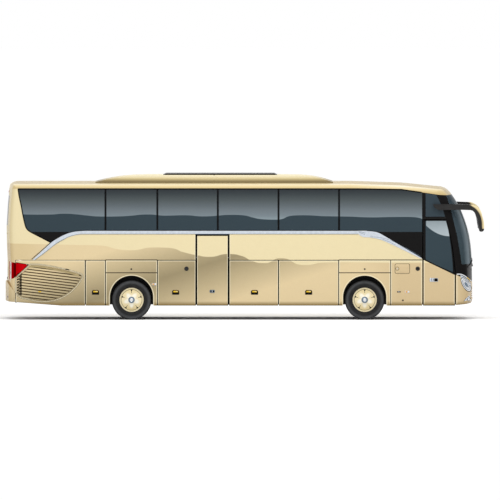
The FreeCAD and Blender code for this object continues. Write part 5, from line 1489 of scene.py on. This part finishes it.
def makeDriverSeat():
    y0, y1 = driver["y"]
    y, wide = (y0 + y1) / 2, y1 - y0 - 0.02
    soft = Piece("driver_cushions", mat["seatSide"], mat["seatCloth"])
    foot, tip = (Vector((x, y, z)) for x, z in driver["cushion"])
    addPad(soft, "cushion", foot, tip, Vector((0, 0, 1)), wide)
    low, high = (Vector((x, y, z)) for x, z in driver["back"])
    out = Vector((0.995, 0, 0.082)) * 0.92
    addPad(soft, "back", low, high, out, wide)
    addPad(soft, "head", low, high, out, wide * 0.8, 1)
    addPiping(soft, foot, tip, Vector((0, 0, 1)), wide, 0.052)
    addPiping(soft, low, high, out, wide, 0.048)
    cushions = soft.finish("coach_body", 60.0)
    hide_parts("driver_seat")
    frame = Piece("driver_seat_base", mat["plastic"], mat["steel"])
    for z0, z1, x0, x1, half in ((0.942, 0.965, 4.79, 5.08, 0.20), (0.963, 0.990, 4.81, 5.06, 0.17),
                                 (1.255, 1.322, 4.80, 5.17, 0.21)):
        frame.loft([[(x0, y - half, z), (x1, y - half, z), (x1, y + half, z), (x0, y + half, z)]
                    for z in (z0, z1)], 0)
    for i in range(7):
        z = 0.992 + i * 0.038
        frame.loft([[(4.83 - g, y - 0.15 - g, z + t), (5.03 + g, y - 0.15 - g, z + t),
                     (5.03 + g, y + 0.15 + g, z + t), (4.83 - g, y + 0.15 + g, z + t)]
                    for t, g in ((0.0, 0.0), (0.018, 0.012), (0.036, 0.0))], 0)
    for t in (-1, 1):
        frame.tube([(4.800, y + t * 0.236, 1.560), (4.90, y + t * 0.236, 1.566),
                    (5.06, y + t * 0.236, 1.560)], 0.018, 8, 0, 0.7)
    frame.finish("coach_body", 40.0, 0.004)


# Fittings in the saloon: a carpet along the aisle, lamps and air outlets under the racks.
saloon = {"carpet": (-5.35, 4.30, 0.262), "floor": 1.3402}


def makeSaloon():
    x0, x1, half = saloon["carpet"]
    floor = saloon["floor"]
    piece = Piece("aisle_carpet", mat["carpet"], mat["hubSteel"])
    stops = [x0 + (x1 - x0) * i / 12 for i in range(13)]
    piece.loft([[(x, -half, floor), (x, half, floor), (x, half - 0.004, floor + 0.005),
                 (x, -half + 0.004, floor + 0.005)] for x in stops], 0)
    for t in (-1, 1):
        piece.loft([[(x, t * half, floor), (x, t * (half + 0.012), floor),
                     (x, t * (half + 0.010), floor + 0.006), (x, t * half, floor + 0.0065)] for x in stops],
                     1)
    piece.finish("coach_body", 40.0)
    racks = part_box("luggage_racks")
    under = racks[0][2]
    piece = Piece("rack_outlets", mat["lining"], mat["plastic"], mat["white"], mat["greyPlastic"])
    for x, side in seatRows():
        for name, shift, radius in (("outlet", 0.10, 0.030), ("outlet", 0.20, 0.030),
                                    ("lamp", 0.34, 0.036)):
            y = side * (0.62 if name == "outlet" else 0.66)
            hit = castOn(("luggage_racks",), (x + shift, y, under - 0.5), (0, 0, 1))
            if not hit:
                continue
            z = hit[0].z

            def place(a, b, depth, x=x + shift, y=y, z=z):
                return Vector((x + a, y + b, z - depth))
            piece.dome(circle(0, 0, radius, 18), place, ((1.0, -0.002), (1.0, 0.004), (0.9, 0.008),
                                                         (0.62, 0.008)), 3)
            piece.dome(circle(0, 0, radius * 0.58, 14), place, ((1.0, 0.004), (0.95, 0.010), (0.3, 0.013)),
                       1 if name == "outlet" else 2)
    piece.finish("coach_body", 40.0)


makeSeats()
makeDriverSeat()
makeSaloon()
print("seats and saloon made")


# Details across the front: wipers, washer jets and the dark mesh behind the intake slots.
frontParts = {
    "wipers": (((-1.00, 1.385), (-0.68, 1.445), (-0.38, 1.505)),
               ((0.02, 1.385), (0.34, 1.445), (0.64, 1.505))),
    "blade": 0.46, "intake": (0.600, 0.535, 0.775, 0.060), "washer": ((-0.45, 1.30), (0.55, 1.30)),
}


def makeFrontParts():
    piece = Piece("wipers", mat["plastic"], mat["rubber"], mat["steel"])
    for arm in frontParts["wipers"]:
        points = [frontPlace(y, z, 0.018) for y, z in curveThrough(arm, 6)]
        piece.tube(points, 0.011, 8, 0, 0.7)
        y0, z0 = arm[0]
        base = frontPlace(y0, z0, 0.0)
        piece.tube([base + Vector((-0.004, 0, 0)), base + Vector((0.026, 0, 0.004))], 0.022, 16, 2)
        (ya, za), (yb, zb) = arm[1], arm[2]
        run = Vector((yb - ya, zb - za)).normalized() * frontParts["blade"]
        blade = [frontPlace(yb + run[0] * t, zb + run[1] * t, 0.010) for t in (-0.9, -0.45, 0.0, 0.45, 0.9)]
        piece.tube(blade, 0.007, 6, 1)
        piece.tube([point + Vector((0.010, 0, 0)) for point in blade[1:4]], 0.006, 6, 2)
    for y, z in frontParts["washer"]:
        base = frontPlace(y, z, 0.0)
        piece.tube([base, base + Vector((0.012, 0, 0))], 0.012, 10, 0)
    piece.finish("coach_body", 40.0)
    half, low, high, deep = frontParts["intake"]
    piece = Piece("intake_mesh", mat["deepBlack"], mat["steel"])
    stops = [-half + 2 * half * i / 12 for i in range(13)]
    backs = [frontPlace(y, low - 0.03, 0.0).x - deep for y in stops]
    piece.loft([[(x - 0.006, y, low), (x, y, low), (x, y, high), (x - 0.006, y, high)]
                for x, y in zip(backs, stops)], 0)
    for i in range(1, 24):
        y = -half + 2 * half * i / 24
        x = frontPlace(y, low - 0.03, 0.0).x - deep
        piece.tube([(x + 0.003, y, low), (x + 0.003, y, high)], 0.0025, 6, 1)
    piece.finish()


# Details across the rear.
rearParts = {
    "handle": (0.0, 1.060, 0.260, 0.052), "brake": (0.0, 3.345, 0.620, 0.042),
    "reflectors": ((0.98, 0.600),),
    "lamps": ((1.095, 1.440, 0.040), (1.095, 1.335, 0.036), (1.095, 1.240, 0.034)),
}


def makeRearParts():
    y, z, w, h = rearParts["handle"]
    piece = Piece("engine_lid_handle", mat["plastic"], mat["bright"])
    piece.dome(roundRect(y, z, w, h, 0.020), rearPlace,
               ((1.0, 0.0), (1.0, 0.006), (0.94, 0.012), (0.80, 0.014), (0.2, 0.014)), 0)
    piece.dome(circle(y, z, 0.011, 16), rearPlace, ((1.0, 0.012), (1.0, 0.017), (0.6, 0.018)), 1)
    piece.finish("engine_lid_panel", 40.0)
    piece = Piece("rear_lamps", mat["darkRed"], mat["rubber"], mat["red"], mat["amber"])
    y, z, w, h = rearParts["brake"]
    piece.dome(roundRect(y, z, w, h, 0.014), rearPlace,
               ((1.0, -0.001), (1.0, 0.008), (0.97, 0.011), (0.2, 0.011)), 2)
    for side in (-1, 1):
        for y, z in rearParts["reflectors"]:
            piece.dome(roundRect(side * y, z, 0.150, 0.046, 0.010), rearPlace,
                       ((1.0, 0.0), (1.0, 0.006), (0.9, 0.008), (0.2, 0.008)), 0)
        for index, (y, z, r) in enumerate(rearParts["lamps"]):
            piece.ring(circle(side * y, z, r + 0.004, 24), rearPlace, 0.008, 0.0005, 0.0030, 1)
            piece.dome(circle(side * y, z, r, 24), rearPlace,
                       ((1.0, 0.0004), (1.0, 0.0020), (0.8, 0.0040), (0.2, 0.0050)), 3 if index == 1 else 2)
    piece.finish()


# Frame and ribs on the hatch over the roof pod.
def topPlace(x, y, depth):
    hit = castOn(("roof", "roof_pod", "roof_pod_hatch"), (x, y, 6.0), (0, 0, -1))
    return hit[0] + Vector((0, 0, depth)) if hit else Vector((x, y, 3.6))


def makeRoofParts():
    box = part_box("roof_pod_hatch")
    x0, x1, y0, y1 = box[0][0] + 0.05, box[1][0] - 0.05, box[0][1] + 0.05, box[1][1] - 0.05
    piece = Piece("pod_hatch_frame", mat["plastic"], mat["steel"])
    ring = rounded([(x0, y0), (x1, y0), (x1, y1), (x0, y1)], 0.05)
    piece.ring(ring, topPlace, 0.014, -0.004, 0.0004, 1)
    for i in range(1, 6):
        x = x0 + (x1 - x0) * i / 6
        line = [(x, y0 + 0.06 + (y1 - y0 - 0.12) * k / 8) for k in range(9)]
        piece.ring(line, topPlace, 0.010, -0.004, 0.0004, 0, False)
    piece.finish()


# Dials and switches on the driver's side of the dashboard, each set by how far it lies under the top.
dials = {
    "rounds": ((0.50, 0.052), (0.64, 0.064), (0.78, 0.052)), "roundsUnder": 0.12,
    "display": (0.24, 0.220, 0.130), "displayUnder": 0.13,
    "switches": 8, "first": 0.40, "pitch": 0.058, "switchesUnder": 0.225,
}


def makeDials():
    def place(y, z, depth):
        hit = castOn(("dashboard",), (4.85, y, z), (1, 0, 0))
        return hit[0] - Vector((depth, 0, 0)) if hit else Vector((5.5, y, z))
    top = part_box("dashboard")[1][2]
    middle = top - dials["roundsUnder"]
    piece = Piece("dials", mat["plastic"], mat["white"], mat["hubSteel"], mat["screenDisplay"])
    for y, r in dials["rounds"]:
        piece.ring(circle(y, middle, r + 0.006, 28), place, 0.010, 0.0, 0.010, 2)
        piece.dome(circle(y, middle, r, 28), place, ((1.0, 0.0), (1.0, 0.003), (0.2, 0.003)), 0)
        for k in range(11):
            a = math.radians(225 - 27 * k)
            mark = [(y + r * f * math.cos(a), middle + r * f * math.sin(a)) for f in (0.74, 0.90)]
            piece.ring(mark, place, 0.0030, 0.003, 0.0045, 1, False)
    y, wide, high = dials["display"]
    piece.dome(roundRect(y, top - dials["displayUnder"], wide, high, 0.012), place,
               ((1.0, 0.0), (1.0, 0.008), (0.95, 0.010), (0.9, 0.007), (0.2, 0.007)), 3)
    for k in range(dials["switches"]):
        key = roundRect(dials["first"] + dials["pitch"] * k, top - dials["switchesUnder"], 0.040, 0.026,
                        0.006)
        piece.dome(key, place, ((1.0, 0.0), (1.0, 0.006), (0.85, 0.008), (0.2, 0.006)), 0)
    piece.finish("coach_body", 40.0)


makeFrontParts()
makeRearParts()
makeRoofParts()
makeDials()
print("front, rear, roof and dashboard details made")


# Wheels: place along the coach, distance from its middle, side and body.
wheels = {
    "front_tyre_right": (axles["front"], 1.050, -1, "front_wheel_right"),
    "front_tyre_left": (axles["front"], 1.050, 1, "front_wheel_left"),
    "rear_tyres_right": (axles["rear"], 0.910, -1, "rear_wheels_right"),
    "rear_tyres_left": (axles["rear"], 0.910, 1, "rear_wheels_left"),
}
tread = {"radius": 0.5215, "steps": 144, "grooves": (-0.052, -0.018, 0.018, 0.052), "grooveWidth": 0.0075,
         "grooveDepth": 0.013}


def tyreProfile(cut):
    # Closed section of a tyre as (radius, depth), from the inner bead over the tread to the outer bead.
    radius = tread["radius"]
    outer = [(0.289, 0.100), (0.312, 0.104), (0.322, 0.112), (0.330, 0.118), (0.3335, 0.1215),
            (0.337, 0.1215), (0.340, 0.124), (0.352, 0.132), (0.366, 0.138), (0.392, 0.1432),
            (0.395, 0.1410), (0.399, 0.1410), (0.402, 0.1440), (0.428, 0.1445), (0.446, 0.1440),
            (0.449, 0.1418), (0.453, 0.1418), (0.456, 0.1432), (0.474, 0.1402), (0.486, 0.1360),
            (0.4895, 0.1325), (0.494, 0.1325), (0.498, 0.1330), (0.512, 0.1235 if cut else 0.1260),
            (radius - 0.004 - (0.010 if cut else 0.0), 0.1120), (radius - (0.010 if cut else 0.0), 0.1020)]
    crown = []
    for groove in sorted(tread["grooves"], reverse=True):
        w, deep = tread["grooveWidth"], tread["grooveDepth"]
        crown += [(radius, groove + w), (radius - deep, groove + w * 0.6),
                  (radius - deep, groove - w * 0.6), (radius, groove - w)]
    inner = [(r, -d) for r, d in reversed(outer)]
    return [*outer, *crown, *inner]


def makeTyres():
    for name, (x, y, side, body) in wheels.items():
        piece = Piece(name + "_tread", mat["tyre"])
        for middle in ((y,) if "front" in name else (y - 0.165, y + 0.165)):
            place = wheelPlace(x, middle, side)
            rings = []
            for i in range(tread["steps"]):
                angle = math.tau * i / tread["steps"]
                profile = tyreProfile(i % 4 == 0)
                rings.append([place(r * math.cos(angle), r * math.sin(angle), d) for r, d in profile])
            piece.loft(rings, closed=False, caps=False)
        obj = piece.finish(body, 30.0)
        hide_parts(name)


# Hub caps, the pale ring on each rim, and the brake discs behind.
hubs = {"ring": -0.052}


def makeHubs():
    ring = hubs["ring"]
    for name, (x, y, side, body) in wheels.items():
        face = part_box(name.replace("tyres", "rims").replace("tyre", "rim"))
        out = max(abs(face[0][1]), abs(face[1][1]))

        def place(a, b, depth):
            return Vector((x + a, side * (out + depth), wheelHeight + b))
        piece = Piece(body + "_hub_cap", mat["white"], mat["hubSteel"], mat["bright"], mat["wheel"])
        piece.lathe([(0.0005, 0.0165), (0.020, 0.0155), (0.032, 0.0110), (0.036, 0.0040), (0.036, -0.002),
                     (0.0005, -0.002)], place, 40, 0, True)
        piece.lathe([(0.036, -0.002), (0.036, 0.0070), (0.041, 0.0100), (0.046, 0.0070), (0.047, -0.002)],
                    place, 48, 2, True)
        piece.lathe([(0.047, -0.002), (0.049, 0.0050), (0.060, 0.0095), (0.074, 0.0080), (0.084, 0.0020),
                     (0.087, -0.004), (0.087, -0.010)], place, 56, 1, True)
        piece.lathe([(0.2990, -0.020 + ring), (0.2990, 0.0180 + ring), (0.3040, 0.0225 + ring),
                     (0.3120, 0.0225 + ring), (0.3170, 0.0160 + ring), (0.3170, -0.020 + ring)], place, 96,
                     3, True)
        piece.finish(body, 35.0)
        brake = Piece(body + "_brake", mat["iron"], mat["deepBlack"])
        brake.lathe([(0.112, -0.105), (0.112, -0.085), (0.180, -0.083), (0.184, -0.080), (0.250, -0.080),
                     (0.262, -0.084), (0.262, -0.105)], place, 64, 1, True)
        brake.finish(body, 35.0)


makeTyres()
makeHubs()
print("wheels made")


# Stage, light and camera. The floor reads as white in plain light and keeps its shadows.
view = {"centre": Vector((0.144, -0.9, 1.823)), "width": 13.135, "lens": 1200.0, "elevation": 1.7}
studioFloor = {"gain": 1.24, "size": 400.0}
studioLight = {"place": (0.0, -7.0, 13.0), "target": (0.0, 0.0, 1.0), "energy": 830.0, "size": (18.0, 5.0)}


def makeStage():
    bm = bmesh.new()
    bmesh.ops.create_grid(bm, x_segments=2, y_segments=2, size=studioFloor["size"])
    mesh = bpy.data.meshes.new("studioFloor")
    bm.to_mesh(mesh)
    bm.free()
    obj = bpy.data.objects.new("studioFloor", mesh)
    bpy.context.scene.collection.objects.link(obj)
    s = Shader("studioFloorWhite")
    s.put(Roughness=1.0, Specular_IOR_Level=0.0, Base_Color=(0.9, 0.9, 0.9, 1.0))
    seen = s.node("BsdfDiffuse")
    seen.inputs["Color"].default_value = (*[studioFloor["gain"]] * 3, 1.0)
    path = s.node("LightPath")
    mixer = s.node("MixShader")
    s.link(path.outputs["Is Camera Ray"], mixer.inputs[0])
    s.link(s.surface.outputs[0], mixer.inputs[1])
    s.link(seen.outputs[0], mixer.inputs[2])
    s.link(mixer.outputs[0], s.tree.nodes["Material Output"].inputs["Surface"])
    mesh.materials.append(s.material)


def makeWorld():
    world = bpy.data.worlds.new("studioSky")
    bpy.context.scene.world = world
    world.use_nodes = True
    tree = world.node_tree
    background = tree.nodes["Background"]
    background.inputs["Color"].default_value = (0.82, 0.82, 0.82, 1.0)
    shown = tree.nodes.new("ShaderNodeBackground")
    shown.inputs["Color"].default_value = (1.0, 1.0, 1.0, 1.0)
    path = tree.nodes.new("ShaderNodeLightPath")
    mixer = tree.nodes.new("ShaderNodeMixShader")
    sent = path.outputs["Is Camera Ray"]
    for kind in ("Is Glossy Ray", "Is Transmission Ray"):
        either = tree.nodes.new("ShaderNodeMath")
        either.operation = "MAXIMUM"
        tree.links.new(sent, either.inputs[0])
        tree.links.new(path.outputs[kind], either.inputs[1])
        sent = either.outputs[0]
    tree.links.new(sent, mixer.inputs[0])
    tree.links.new(background.outputs[0], mixer.inputs[1])
    tree.links.new(shown.outputs[0], mixer.inputs[2])
    tree.links.new(mixer.outputs[0], tree.nodes["World Output"].inputs["Surface"])


def makeLight(name, place, target, energy, size):
    data = bpy.data.lights.new(name, "AREA")
    data.shape = "RECTANGLE"
    data.size, data.size_y = size
    data.energy = energy
    obj = bpy.data.objects.new(name, data)
    bpy.context.scene.collection.objects.link(obj)
    obj.location = place
    obj.rotation_mode = "QUATERNION"
    obj.rotation_quaternion = (Vector(target) - Vector(place)).to_track_quat("-Z", "Y")


def makeCamera():
    data = bpy.data.cameras.new("studioCamera")
    data.lens = view["lens"]
    data.sensor_width = 36.0
    data.dof.use_dof = False
    camera = bpy.data.objects.new("studioCamera", data)
    bpy.context.scene.collection.objects.link(camera)
    tilt = math.radians(view["elevation"])
    distance = view["width"] * data.lens / data.sensor_width
    back = Vector((0.0, -math.cos(tilt), math.sin(tilt)))
    camera.location = view["centre"] + back * distance
    camera.rotation_mode = "QUATERNION"
    camera.rotation_quaternion = (-back).to_track_quat("-Z", "Y")
    data.clip_start, data.clip_end = 1.0, 1500.0
    bpy.context.scene.camera = camera


makeStage()
makeWorld()
makeLight("overheadSoft", studioLight["place"], studioLight["target"], studioLight["energy"],
          studioLight["size"])
makeCamera()
bpy.context.scene.view_settings.view_transform = "Standard"
print("stage, light and camera ready")
